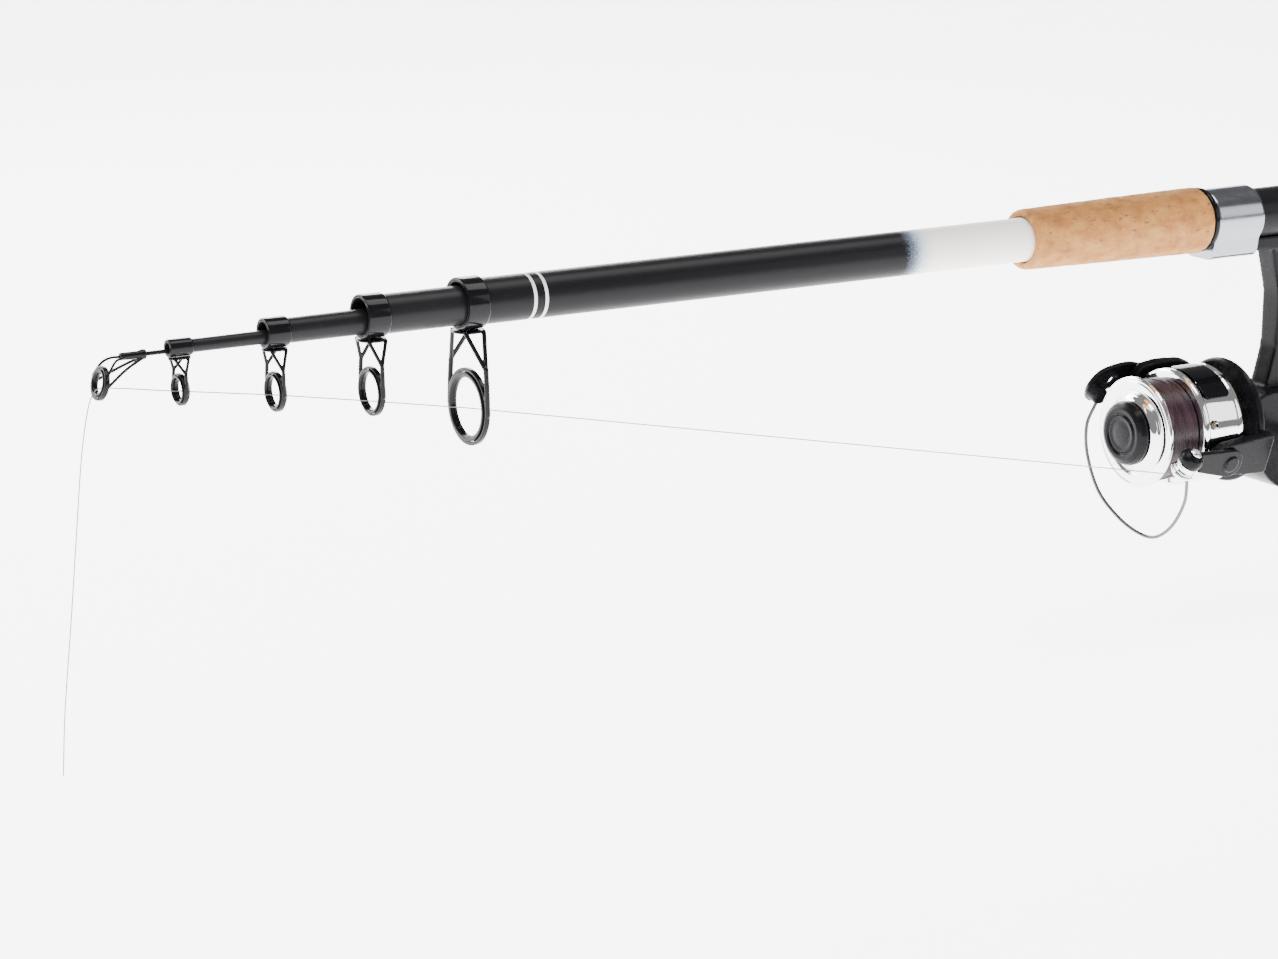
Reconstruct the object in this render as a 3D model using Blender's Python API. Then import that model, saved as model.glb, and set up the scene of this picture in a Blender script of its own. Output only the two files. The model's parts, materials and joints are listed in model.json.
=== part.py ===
"""A collapsed telescopic spinning rod with a spinning reel on its seat.

-X points to the tip, +X to the butt, +Z up, and the reel hangs below.
The origin is on the rod's axis, where the hand holds the reel seat.
Lengths are in millimetres and become metres when a mesh is made.
"""
import math

import bmesh
import bpy
from mathutils import Matrix, Vector

MM = 0.001
FULL_TURN = 2.0 * math.pi
SIDES = 24
SMALL_SIDES = 14
WIRE_SIDES = 6
GAP = 0.3
GLUE_GAP = 0.1

# Rod. Each section: front end x, length, outer radius at front and rear, wall, drop of its axis at its mouth.
BUTT_FRONT = -386.4
BUTT_REAR = 268.0
BUTT_RADII = (8.3, 9.05)
BUTT_WALL = 0.45
SECTIONS = {
    "section_2": {"front": -425.1, "length": 566.0, "radii": (7.0, 7.5), "wall": 0.45, "drops": (0.6, 0.6)},
    "section_3": {"front": -462.4, "length": 560.0, "radii": (4.35, 6.2), "wall": 0.4, "drops": (1.85, 0.4)},
    "section_4": {"front": -498.1, "length": 543.0, "radii": (2.3, 3.6), "wall": 0.4, "drops": (1.35, 1.35)},
    "tip_section": {"front": -513.0, "length": 525.0, "radii": (0.75, 1.55), "wall": 0.0, "drops": (0.9, 0.9)},
}
SECTION_ORDER = ("section_2", "section_3", "section_4", "tip_section")

# Guides: collar centre x, collar radius, ring centre z, ring opening, insert and hoop radii, leg spread and wire.
COLLAR_LENGTH = 8.8
GUIDES = {
    1: {"x": -493.7, "z": -18.6, "collar": 3.1, "leg": 2.6, "wire": 0.55, "open": 3.75, "insert": 4.7, "hoop": 5.6},
    2: {"x": -458.0, "z": -23.4, "collar": 5.3, "leg": 2.9, "wire": 0.6, "open": 4.95, "insert": 6.0, "hoop": 7.05},
    3: {"x": -420.7, "z": -27.5, "collar": 7.8, "leg": 3.3, "wire": 0.7, "open": 6.45, "insert": 7.7, "hoop": 8.8},
    4: {"x": -382.0, "z": -37.5, "collar": 9.4, "leg": 3.7, "wire": 0.85, "open": 10.35, "insert": 12.4, "hoop": 14.0},
}
GUIDE_SECTION = {1: "section_4", 2: "section_3", 3: "section_2", 4: None}
INSERT_DEPTH = 3.0
HOOP_DEPTH = 1.9
HOOP_CLEARANCE = 0.25
FOOT_THICK = 0.9
FOOT_LONG = 1.4
FORK_SHARE = 0.45
FORK_REACH = 0.92
TIP_RING = {"x": -522.8, "z": -13.2, "open": 3.3, "insert": 4.7, "hoop": 5.9, "lean": 0.22}
TIP_TUBE = {"front": -515.5, "rear": -506.2, "radius": 1.35, "bulge": 1.75}

# Grips, seat and cap
CORK_FRONT = -136.0
CORK_REAR = -47.5
CORK_RADII = (11.8, 12.6, 13.2)
TRIM_RING = {"front": -47.2, "rear": -45.2, "radius": 12.9}
SEAT_FRONT = -44.9
SEAT_REAR = 68.0
SEAT_BORE = 9.0
SEAT_RADIUS = 10.2
HOOD_LENGTH = 24.0
HOOD_RADIUS = 12.1
HOOD_POCKET_Z = -15.9
NUT_LENGTH = 14.0
NUT_RADIUS = 12.6
REAR_GRIP = {"front": 68.4, "rear": 262.0, "radii": (11.9, 12.4, 13.4)}
CAP = {"front": 262.4, "rear": 284.0, "radius": 14.2}

# Reel. The spool axis is parallel to the rod.
AXIS_Z = -84.0
SPOOL_FRONT = -75.3
SKIRT_FRONT = -57.8
SKIRT_REAR = -38.5
FLANGE_RADIUS = 22.5
SKIRT_RADIUS = 23.8
BARREL_RADIUS = 14.5
BOSS_RADIUS = 15.4
KNOB_RADIUS = 13.15
KNOB_FRONT = -82.0
KNOB_REAR = -77.7
BOSS_FRONT = -77.4
SHAFT_RADIUS = 2.4
SHAFT_BORE = 2.6
SHAFT_FRONT = -80.4
SHAFT_REAR = 19.0
SKIRT_HOLES = 8
SKIRT_HOLE_RADIUS = 2.1
SKIRT_HOLE_X = -53.0
SKIRT_HOLE_TURN = math.radians(33.0)

# The rotor rests turned about the spool axis by this angle, with the roller on the -Y side
ROTOR_TURN = math.atan2(8.4, 25.7)
PIVOT_X = -50.0
ARM_INNER = 25.2
ARM_OUTER = 29.6
BAIL_RADIUS = 27.0
BAIL_END_X = -73.5
BAIL_WIRE = 0.75
PIN_RADIUS = 1.6

# The rotor's arm on the +Y side, as (x, height above the pivot's level), with a raised spine
FAR_ARM_OUTLINE = (
    (-26.6, -7.4), (-26.6, 11.0), (-34.0, 14.0), (-46.0, 14.8), (-54.0, 13.6), (-57.4, 10.0), (-57.4, 3.0),
    (-56.6, -2.6), (-53.4, -6.0), (-48.0, -7.2),
)

# The lever at the wire's +Y end, as (x, height above the pivot's level), clockwise from its pivot end
LEVER_OUTLINE = (
    (-43.8, 0.0), (-45.6, -4.2), (-50.0, -6.2), (-54.4, -4.2), (-57.5, 0.4), (-61.5, 2.6), (-67.0, 2.4),
    (-69.8, -0.6), (-71.4, -2.6), (-75.4, -2.4), (-77.0, 1.4), (-75.6, 6.6), (-71.6, 10.8), (-66.0, 11.9),
    (-58.0, 9.8), (-50.0, 6.4), (-45.6, 4.2),
)
LEVER_END_LIFT = 2.2

# The line roller's middle, in the rotor's own turned frame, and the outward direction of its tilted screw
ROLLER_MIDDLE = Vector((-71.0, -29.0, 0.0))
ROLLER_AXIS = Vector((0.2, -0.3, 0.93))
ROLLER_HALF = 1.9
ROLLER_RADIUS = 4.6
BELL_RADIUS = 4.9

# The wire's route in the rotor's turned frame, from the lever round below the spool to the roller
WIRE_ROUTE = (
    (-73.5, 27.0, -1.7), (-76.6, 25.6, -11.0), (-77.2, 20.0, -22.0), (-75.6, 10.0, -33.5), (-72.0, -1.0, -39.8),
    (-69.0, -11.5, -41.6), (-67.5, -20.0, -38.8), (-66.6, -26.0, -30.0), (-67.0, -28.6, -18.0), (-69.0, -27.8, -8.4),
)

# Gear train
GEAR_TEETH = 46
PINION_TEETH = 9
GEAR_X = 2.0
GEAR_DROP = 9.4
GEAR_RADIUS = 16.6
HELIX_HAND = -1
CROSS_TEETH = 24
CROSS_PINION_TEETH = 12
CROSS_MODULE = 0.7
CROSS_X = 14.2
SLIDER_X = (12.0, 18.0)
BODY_HALF = 13.0
COVER_THICK = 2.2
LEVER_PIVOT = (15.0, -113.4)
WALL = 2.0

# Handle
DRIVE_END = -18.0
ARM_FACE = -38.4
ARM_THICK = 4.0
KNOB_LENGTH = 24.0
HANDLE_LENGTH = 46.0
HANDLE_ANGLE = math.radians(-58.0)

# Line: from the roller through the rings, and the end that hangs from the tip ring
LINE_DIAMETER = 0.4
LINE_STOPS = (
    (-78.6, -27.0, -95.2),
    (-382.0, 0.0, -38.1),
    (-420.7, 0.0, -31.1),
    (-458.0, 0.0, -24.6),
    (-493.7, 0.0, -19.2),
)
LINE_TAIL = (
    (-493.9, 0.0, -19.2),
    (-504.0, 0.0, -17.6),
    (-515.0, 0.0, -15.8),
    (-522.9, 0.0, -15.0),
    (-525.4, 0.0, -16.6),
    (-527.6, 0.0, -22.0),
    (-530.4, 0.0, -38.0),
    (-533.2, 0.0, -65.0),
    (-536.2, 0.0, -95.0),
    (-539.4, 0.0, -125.0),
    (-540.8, 0.0, -147.5),
)
LINE_COUNTS = (12, 5, 5, 5, 48)

MATERIALS = {
    "blank_black": ((0.028, 0.029, 0.032), 0.35, 0.1),
    "blank_dark": ((0.034, 0.035, 0.038), 0.38, 0.1),
    "gloss_black": ((0.008, 0.008, 0.009), 0.15, 0.0),
    "ring_insert": ((0.05, 0.05, 0.055), 0.08, 0.3),
    "cork": ((0.58, 0.42, 0.26), 0.85, 0.0),
    "seat_black": ((0.02, 0.02, 0.022), 0.4, 0.0),
    "gunmetal": ((0.42, 0.43, 0.45), 0.2, 1.0),
    "rubber_black": ((0.02, 0.02, 0.02), 0.8, 0.0),
    "chrome": ((0.75, 0.76, 0.78), 0.1, 1.0),
    "satin_steel": ((0.5, 0.5, 0.51), 0.32, 1.0),
    "reel_black": ((0.012, 0.012, 0.014), 0.3, 0.0),
    "brass_gear": ((0.62, 0.47, 0.2), 0.3, 1.0),
    "zinc_gear": ((0.45, 0.45, 0.46), 0.4, 1.0),
    "spool_line_violet": ((0.09, 0.035, 0.1), 0.4, 0.0),
    "line_grey": ((0.5, 0.42, 0.5), 0.3, 0.0),
    "felt_white": ((0.6, 0.58, 0.53), 0.9, 0.0),
}


def clear_scene():
    for item in list(bpy.data.objects):
        bpy.data.objects.remove(item, do_unlink=True)


def material(name):
    found = bpy.data.materials.get(name)
    if found:
        return found
    colour, roughness, metallic = MATERIALS[name]
    made = bpy.data.materials.new(name)
    made.use_nodes = True
    shader = made.node_tree.nodes["Principled BSDF"]
    shader.inputs["Base Color"].default_value = (*colour, 1.0)
    shader.inputs["Roughness"].default_value = roughness
    shader.inputs["Metallic"].default_value = metallic
    return made


def add_mesh(name, points, faces, slot, place=(0, 0, 0), turn=None):
    """Make an object from points in millimetres, with its origin at place."""
    mesh = bpy.data.meshes.new(name)
    work = bmesh.new()
    corners = [work.verts.new(Vector(p) * MM) for p in points]
    for face in faces:
        work.faces.new([corners[i] for i in face])
    bmesh.ops.recalc_face_normals(work, faces=work.faces)
    work.to_mesh(mesh)
    work.free()
    made = bpy.data.objects.new(name, mesh)
    bpy.context.collection.objects.link(made)
    if slot:
        mesh.materials.append(material(slot))
    mesh.shade_smooth()
    mesh.set_sharp_from_angle(angle=math.radians(35.0))
    made.matrix_world = Matrix.Translation(Vector(place) * MM) @ (turn or Matrix.Identity(4))
    return made


def axis_point(axis, along, radius, angle):
    """A point at a distance along an axis, and at a radius and an angle round it."""
    a = radius * math.cos(angle)
    b = radius * math.sin(angle)
    return {"X": (along, a, b), "Y": (b, along, a), "Z": (a, b, along)}[axis]


def turned(name, profile, slot, place=(0, 0, 0), axis="X", sides=SIDES, turn=None):
    """Turn a profile of (along, radius) points; it is closed, or it starts and ends on the axis."""
    points = []
    rows = []
    for along, radius in profile:
        if radius == 0:
            rows.append([len(points)])
            points.append(axis_point(axis, along, 0, 0))
            continue
        rows.append([len(points) + i for i in range(sides)])
        points += [axis_point(axis, along, radius, FULL_TURN * i / sides) for i in range(sides)]
    solid = len(rows[0]) == 1
    pairs = list(zip(rows, rows[1:]))
    if not solid:
        pairs.append((rows[-1], rows[0]))
    faces = []
    for one, two in pairs:
        for i in range(sides):
            j = (i + 1) % sides
            if len(one) == 1:
                faces.append((one[0], two[i], two[j]))
            elif len(two) == 1:
                faces.append((one[i], two[0], one[j]))
            else:
                faces.append((one[i], two[i], two[j], one[j]))
    return add_mesh(name, points, faces, slot, place, turn)


def extruded(name, outline, slot, low, high, axis="Y", place=(0, 0, 0), turn=None):
    """Extrude an outline along an axis; its two numbers are the other two coordinates in order."""
    def at(u, v, w):
        return {"X": (w, u, v), "Y": (u, w, v), "Z": (u, v, w)}[axis]
    count = len(outline)
    points = [at(u, v, low) for u, v in outline] + [at(u, v, high) for u, v in outline]
    faces = [tuple(range(count)), tuple(range(2 * count - 1, count - 1, -1))]
    for i in range(count):
        j = (i + 1) % count
        faces.append((i, j, count + j, count + i))
    return add_mesh(name, points, faces, slot, place, turn)


def tube_along(name, path, radius, slot, place=(0, 0, 0), sides=WIRE_SIDES, turn=None, flat=1.0):
    """A capped tube through points, with a frame carried along it; flat squeezes it across."""
    path = [Vector(p) for p in path]
    points = []
    side = None
    for i, here in enumerate(path):
        before = path[max(i - 1, 0)]
        after = path[min(i + 1, len(path) - 1)]
        along = (after - before).normalized()
        if side is None:
            side = along.orthogonal().normalized()
            if abs(along.x) < 0.9:
                side = (Vector((1, 0, 0)) - along * along.x).normalized()
        side = (side - along * side.dot(along)).normalized()
        other = along.cross(side)
        for k in range(sides):
            angle = FULL_TURN * (k + 0.5) / sides
            points.append(here + side * radius * math.cos(angle) + other * radius * flat * math.sin(angle))
    rows = [[i * sides + k for k in range(sides)] for i in range(len(path))]
    faces = [tuple(rows[0]), tuple(reversed(rows[-1]))]
    for one, two in zip(rows, rows[1:]):
        for k in range(sides):
            j = (k + 1) % sides
            faces.append((one[k], two[k], two[j], one[j]))
    return add_mesh(name, points, faces, slot, place, turn)


def combine(target, cutter, operation, solver="EXACT"):
    """Join or cut, with the cutter hidden."""
    step = target.modifiers.new(operation.title(), "BOOLEAN")
    step.operation = operation
    step.solver = solver
    step.object = cutter
    cutter.hide_render = True
    cutter.display_type = "WIRE"
    return target


def ring_profile(front, rear, inner, outer, chamfer=0.0):
    if chamfer == 0:
        return [(front, outer), (rear, outer), (rear, inner), (front, inner)]
    return [
        (front, outer - chamfer),
        (front + chamfer, outer),
        (rear - chamfer, outer),
        (rear, outer - chamfer),
        (rear, inner),
        (front, inner),
    ]


def disc_profile(front, rear, radius, chamfer=0.0):
    if chamfer == 0:
        return [(front, 0), (front, radius), (rear, radius), (rear, 0)]
    return [
        (front, 0),
        (front, radius - chamfer),
        (front + chamfer, radius),
        (rear - chamfer, radius),
        (rear, radius - chamfer),
        (rear, 0),
    ]


def circle_points(u, v, radius, count):
    return [
        (u + radius * math.cos(FULL_TURN * i / count), v + radius * math.sin(FULL_TURN * i / count))
        for i in range(count)
    ]


def wrap(points):
    """The convex outline round a set of points."""
    def chain(ordered):
        kept = []
        for p in ordered:
            while len(kept) > 1:
                (ax, ay), (bx, by) = kept[-2], kept[-1]
                if (bx - ax) * (p[1] - ay) - (by - ay) * (p[0] - ax) > 1e-9:
                    break
                kept.pop()
            kept.append(p)
        return kept[:-1]
    ordered = sorted(set(points))
    return chain(ordered) + chain(ordered[::-1])


def wrap_circles(circles, count=16):
    return wrap([p for u, v, radius in circles for p in circle_points(u, v, radius, count)])


def lerp(a, b, t):
    return a + (b - a) * t


def mouth_of(order_index):
    """The x of the mouth that a section leaves through: the front end of the tube round it."""
    if order_index == 0:
        return BUTT_FRONT
    return SECTIONS[SECTION_ORDER[order_index - 1]]["front"]


def section_line(name):
    """Height of a section's axis as (z at its front end, slope), each lying on the mouth round it."""
    height, slope = 0.0, 0.0
    front = BUTT_FRONT
    for index, step in enumerate(SECTION_ORDER):
        data = SECTIONS[step]
        mouth = mouth_of(index)
        rear = data["front"] + data["length"]
        mouth_z = height + slope * (mouth - front) - data["drops"][0]
        rear_z = height + slope * (rear - front) - data["drops"][1]
        slope = (rear_z - mouth_z) / (rear - mouth)
        height = mouth_z + slope * (data["front"] - mouth)
        front = data["front"]
        if step == name:
            return height, slope
    return 0.0, 0.0


def axis_z(name, x):
    if name is None:
        return 0.0
    height, slope = section_line(name)
    return height + slope * (x - SECTIONS[name]["front"])


def lean_matrix(name):
    if name is None:
        return Matrix.Identity(4)
    return Matrix.Rotation(-math.atan(section_line(name)[1]), 4, "Y")


def make_sections():
    front, rear = BUTT_RADII
    turned("butt_section", [
        (BUTT_FRONT, front),
        (BUTT_REAR, rear),
        (BUTT_REAR, rear - BUTT_WALL),
        (BUTT_FRONT, front - BUTT_WALL),
    ], "blank_black")
    for name, data in SECTIONS.items():
        front, rear = data["radii"]
        length = data["length"]
        if data["wall"]:
            wall = data["wall"]
            profile = [(0, front), (length, rear), (length, rear - wall), (0, front - wall)]
        else:
            profile = [(0, 0), (0, front), (length, rear), (length, 0)]
        place = (data["front"], 0, axis_z(name, data["front"]))
        sides = SIDES if front > 1 else SMALL_SIDES
        turned(name, profile, "blank_dark", place, sides=sides, turn=lean_matrix(name))


def section_radius(name, x):
    if name is None:
        front, rear = BUTT_RADII
        return lerp(front, rear, (x - BUTT_FRONT) / (BUTT_REAR - BUTT_FRONT))
    data = SECTIONS[name]
    front, rear = data["radii"]
    return lerp(front, rear, (x - data["front"]) / data["length"])


def guide_frame(name, guide, top, place):
    """A hoop, an oval foot, and on each side two legs that meet and run on as one arm to the hoop."""
    wire = guide["wire"]
    drop = guide["z"] - place[2]
    hoop = turned(name, ring_profile(
        -HOOP_DEPTH / 2, HOOP_DEPTH / 2, guide["insert"] + GAP, guide["hoop"]
    ), "gloss_black", (place[0], 0, guide["z"]), sides=18)
    foot_top = -top - GLUE_GAP
    foot_half = guide["leg"] * FOOT_LONG + wire
    foot_wide = min(top * 0.7, 5.6)
    leg_y = foot_wide * 0.85
    outline = [
        (foot_half * math.cos(FULL_TURN * i / 12), foot_wide * math.sin(FULL_TURN * i / 12))
        for i in range(12)
    ]
    foot = extruded(name + "_foot", outline, None, foot_top - FOOT_THICK, foot_top, "Z", place)
    combine(hoop, foot, "UNION", "MANIFOLD")
    leg_top = foot_top - FOOT_THICK * 0.5
    side_reach = guide["hoop"] - wire * 0.4
    fork = lerp(leg_top, drop, FORK_SHARE)
    for side, label in ((-1, "near"), (1, "far")):
        fork_y = side * side_reach * FORK_REACH
        for end, which in ((-1, "front"), (1, "rear")):
            start = Vector((end * guide["leg"], side * leg_y, leg_top))
            meet = start.lerp(Vector((0, fork_y, fork)), 1.06)
            leg = tube_along(f"{name}_{label}_{which}_leg", [start, meet], wire, None, place, sides=6)
            combine(hoop, leg, "UNION", "MANIFOLD")
        arm = tube_along(f"{name}_{label}_arm", [
            (0, lerp(fork_y, side * side_reach, -0.12), lerp(fork, drop, -0.12)),
            (0, side * side_reach, drop - wire),
        ], wire * 1.15, None, place, sides=8)
        combine(hoop, arm, "UNION", "MANIFOLD")
    opening = turned(name + "_opening", disc_profile(
        -HOOP_DEPTH * 2, HOOP_DEPTH * 2, guide["insert"] + HOOP_CLEARANCE
    ), None, (place[0], 0, guide["z"]), sides=18)
    combine(hoop, opening, "DIFFERENCE", "MANIFOLD")
    return hoop


def insert_profile(opening, insert, depth):
    half = depth / 2
    edge = (insert - opening) * 0.4
    return [(-half, opening + edge), (-half, insert), (half, insert), (half, opening + edge), (0, opening)]


def make_guides():
    for number, guide in GUIDES.items():
        section = GUIDE_SECTION[number]
        middle = (guide["x"], 0, axis_z(section, guide["x"]))
        rear = guide["x"] + COLLAR_LENGTH / 2
        bore = section_radius(section, rear) + GLUE_GAP
        turned(f"guide_collar_{number}", ring_profile(
            -COLLAR_LENGTH / 2, COLLAR_LENGTH / 2, bore, guide["collar"]
        ), "gloss_black", middle, sides=20, turn=lean_matrix(section))
        guide_frame(f"guide_frame_{number}", guide, guide["collar"], middle)
        turned(f"guide_ring_{number}", insert_profile(
            guide["open"], guide["insert"], INSERT_DEPTH
        ), "ring_insert", (guide["x"], 0, guide["z"]), sides=18)


def make_tip_guide():
    ring = TIP_RING
    tube = TIP_TUBE
    z = axis_z("tip_section", tube["rear"])
    lean = Matrix.Rotation(ring["lean"], 4, "Y")
    centre = (ring["x"], 0, ring["z"])
    hoop = turned("tip_guide_frame", ring_profile(
        -0.9, 0.9, ring["insert"] + 0.2, ring["hoop"]
    ), "gloss_black", centre, sides=20, turn=lean)
    bore = section_radius("tip_section", tube["rear"]) + GLUE_GAP
    sleeve = turned("tip_tube", [
        (tube["front"], tube["radius"]),
        (tube["rear"] - 2.4, tube["radius"]),
        (tube["rear"] - 1.8, tube["bulge"]),
        (tube["rear"], tube["bulge"]),
        (tube["rear"], bore),
        (SECTIONS["tip_section"]["front"] - GAP, bore),
        (SECTIONS["tip_section"]["front"] - GAP, 0.3),
        (tube["front"], 0.3),
    ], None, (0, 0, z), sides=16)
    combine(hoop, sleeve, "UNION")
    reach = ring["hoop"] - 0.3
    for side, label in ((-1, "near"), (1, "far")):
        leg = tube_along(f"tip_{label}_leg", [
            (tube["front"] + 1.5, side * 0.9, z - 0.3),
            (tube["front"] - 2.2, side * 2.6, z - 0.6),
            (ring["x"] + 2.5, side * 4.4, z - 2.4),
            (ring["x"] - 0.2, side * (reach - 0.4), ring["z"] + 2.0),
        ], 0.5, None, sides=6)
        combine(hoop, leg, "UNION")
    for side, label in ((-1, "near"), (1, "far")):
        strut = tube_along(f"tip_{label}_strut", [
            (tube["rear"] - 1.2, side * 0.8, z - tube["bulge"] * 0.6),
            (tube["front"] + 1.0, side * 2.6, lerp(z, ring["z"], 0.5)),
            (ring["x"] + 0.4, side * (ring["insert"] + 0.8), ring["z"] - 0.4),
        ], 0.55, None, sides=5)
        combine(hoop, strut, "UNION")
    turned("tip_ring", insert_profile(ring["open"], ring["insert"], 2.4), "ring_insert", centre,
           sides=20, turn=lean)


def make_grips():
    low, middle, high = CORK_RADII
    bore = section_radius(None, CORK_REAR) + 0.15
    length = CORK_REAR - CORK_FRONT
    turned("front_grip", [
        (CORK_FRONT, low - 1.4),
        (CORK_FRONT + 0.5, low - 0.4),
        (CORK_FRONT + 1.6, low),
        (CORK_FRONT + length * 0.5, middle),
        (CORK_REAR - 2.5, high),
        (CORK_REAR - 0.7, high - 0.6),
        (CORK_REAR, high - 1.8),
        (CORK_REAR, bore),
        (CORK_FRONT, bore),
    ], "cork")
    turned("grip_trim_ring", ring_profile(
        TRIM_RING["front"], TRIM_RING["rear"], bore + 0.1, TRIM_RING["radius"], 0.3
    ), "gloss_black")
    grip = REAR_GRIP
    low, middle, high = grip["radii"]
    bore = section_radius(None, grip["rear"]) + 0.15
    turned("rear_grip", [
        (grip["front"], low - 1.0),
        (grip["front"] + 1.5, low),
        (lerp(grip["front"], grip["rear"], 0.5), middle),
        (grip["rear"] - 2.0, high),
        (grip["rear"], high - 1.0),
        (grip["rear"], bore),
        (grip["front"], bore),
    ], "cork")
    blank_end = BUTT_REAR + GAP
    plug = section_radius(None, BUTT_REAR) + 0.2
    turned("butt_cap", [
        (CAP["rear"], 0),
        (CAP["rear"], CAP["radius"] - 2.5),
        (CAP["rear"] - 0.8, CAP["radius"] - 0.9),
        (CAP["rear"] - 2.6, CAP["radius"]),
        (CAP["front"] + 0.8, CAP["radius"] - 0.2),
        (CAP["front"], CAP["radius"] - 0.9),
        (CAP["front"], plug),
        (blank_end, plug),
        (blank_end, 0),
    ], "rubber_black")


def hood(name, front, slot, open_end, place):
    """A hood that closes on the reel foot: a ring with a pocket below it, open towards the foot."""
    rear = front + HOOD_LENGTH
    shell = turned(name, ring_profile(front, rear, SEAT_RADIUS + 0.15, HOOD_RADIUS, 0.6), slot, place)
    pocket = extruded(name + "_pocket", wrap_circles([
        (-4.6, HOOD_POCKET_Z + 4.0, 4.0),
        (4.6, HOOD_POCKET_Z + 4.0, 4.0),
        (-7.5, -7.0, 2.0),
        (7.5, -7.0, 2.0),
    ], 16), None, front + 0.4, rear - 0.4, "X", place)
    combine(shell, pocket, "UNION")
    mouth = (front + 4.5, rear + 2.0) if open_end == "rear" else (front - 2.0, rear - 4.5)
    hollow = extruded(name + "_mouth", [
        (-6.9, HOOD_POCKET_Z + 1.0),
        (6.9, HOOD_POCKET_Z + 1.0),
        (6.9, -8.0),
        (-6.9, -8.0),
    ], None, mouth[0], mouth[1], "X", place)
    combine(shell, hollow, "DIFFERENCE")
    bore = turned(name + "_bore", disc_profile(front - 2, rear + 2, SEAT_RADIUS + 0.15), None, place)
    combine(shell, bore, "DIFFERENCE")
    return shell


def make_seat():
    turned("reel_seat", ring_profile(SEAT_FRONT, SEAT_REAR, SEAT_BORE, SEAT_RADIUS), "seat_black")
    hood("seat_fixed_hood", SEAT_FRONT, "gunmetal", "rear", (0, 0, 0))
    moving_front = 21.0
    hood("seat_moving_hood", moving_front, "gunmetal", "front", (0, 0, 0))
    nut_front = moving_front + HOOD_LENGTH + GAP
    turned("seat_lock_nut", ring_profile(
        nut_front, nut_front + NUT_LENGTH, SEAT_RADIUS + 0.15, NUT_RADIUS, 1.0
    ), "gunmetal")


def body_outline(shrink):
    return wrap_circles([
        (GEAR_X, AXIS_Z - GEAR_DROP, 21.5 - shrink),
        (26.0, AXIS_Z - 3.0, 11.5 - shrink),
        (-14.0, AXIS_Z, 11.5 - shrink),
    ])


def drive_hole(name, low, high):
    return turned(name, disc_profile(low, high, 6.3), None, (GEAR_X, 0, AXIS_Z - GEAR_DROP), "Y")


def make_body():
    """The housing is a shell open on +Y, with its stem and foot; the cover closes it."""
    open_face = BODY_HALF - COVER_THICK - GAP
    body = extruded("reel_body", body_outline(0), "reel_black", -BODY_HALF, open_face)
    stem = extruded("body_stem", [
        (-12.0, AXIS_Z + 4.0),
        (16.0, AXIS_Z + 4.0),
        (7.5, AXIS_Z + 30.0),
        (6.0, AXIS_Z + 50.0),
        (9.5, -15.5),
        (10.0, -12.4),
        (-10.0, -12.4),
        (-9.5, -15.5),
        (-5.0, AXIS_Z + 50.0),
        (-5.5, AXIS_Z + 28.0),
    ], None, -5.0, 5.0)
    foot = extruded("body_foot", [
        (-34.0, -13.4),
        (-12.0, -14.6),
        (12.0, -14.6),
        (34.0, -13.4),
        (34.0, -11.6),
        (14.0, -7.0),
        (-14.0, -7.0),
        (-34.0, -11.6),
    ], None, -6.4, 6.4)
    neck = turned("body_neck", disc_profile(-25.2, -8.0, 10.6, 0.8), None, (0, 0, AXIS_Z))
    boss = turned("left_boss", disc_profile(-BODY_HALF - 3.4, -BODY_HALF + 1.0, 8.6, 0.8), None,
                  (GEAR_X, 0, AXIS_Z - GEAR_DROP), "Y")
    for piece in (stem, foot, neck, boss):
        combine(body, piece, "UNION")
    for side, label in ((-1, "near"), (1, "far")):
        low, high = sorted((side * 3.9, side * 6.2))
        lug = extruded(f"body_{label}_lug", wrap_circles([(*LEVER_PIVOT, 2.8), (13.0, -106.0, 4.0)], 12),
                       None, low, high)
        combine(body, lug, "UNION")
    cuts = [
        turned("lug_hole", disc_profile(-8, 8, 1.3), None, (LEVER_PIVOT[0], 0, LEVER_PIVOT[1]), "Y", sides=12),
        turned("foot_saddle", disc_profile(-40, 40, SEAT_RADIUS + GAP), None),
        extruded("body_hollow", body_outline(WALL), None, -BODY_HALF + WALL, BODY_HALF + 2),
        drive_hole("left_hole", -BODY_HALF - 4, -BODY_HALF + 5),
        turned("bearing_seat", disc_profile(-27.0, -12.0, 7.8), None, (0, 0, AXIS_Z)),
    ]
    for piece in cuts:
        combine(body, piece, "DIFFERENCE", "MANIFOLD")
    cover = extruded("body_cover", body_outline(0), "reel_black", BODY_HALF - COVER_THICK, BODY_HALF)
    boss = turned("cover_boss", disc_profile(BODY_HALF - 1.0, BODY_HALF + 4.0, 8.6, 0.8), None,
                  (GEAR_X, 0, AXIS_Z - GEAR_DROP), "Y")
    combine(cover, boss, "UNION")
    combine(cover, drive_hole("cover_hole", BODY_HALF - 6, BODY_HALF + 5), "DIFFERENCE")


def gear_teeth(profile_points, count, base):
    """Repeat a tooth's outline points (angle, radius) round a circle, with root points between."""
    outline = []
    for i in range(count):
        middle = FULL_TURN * i / count + base
        outline += [(middle + angle, radius) for angle, radius in profile_points]
    return outline


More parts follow.
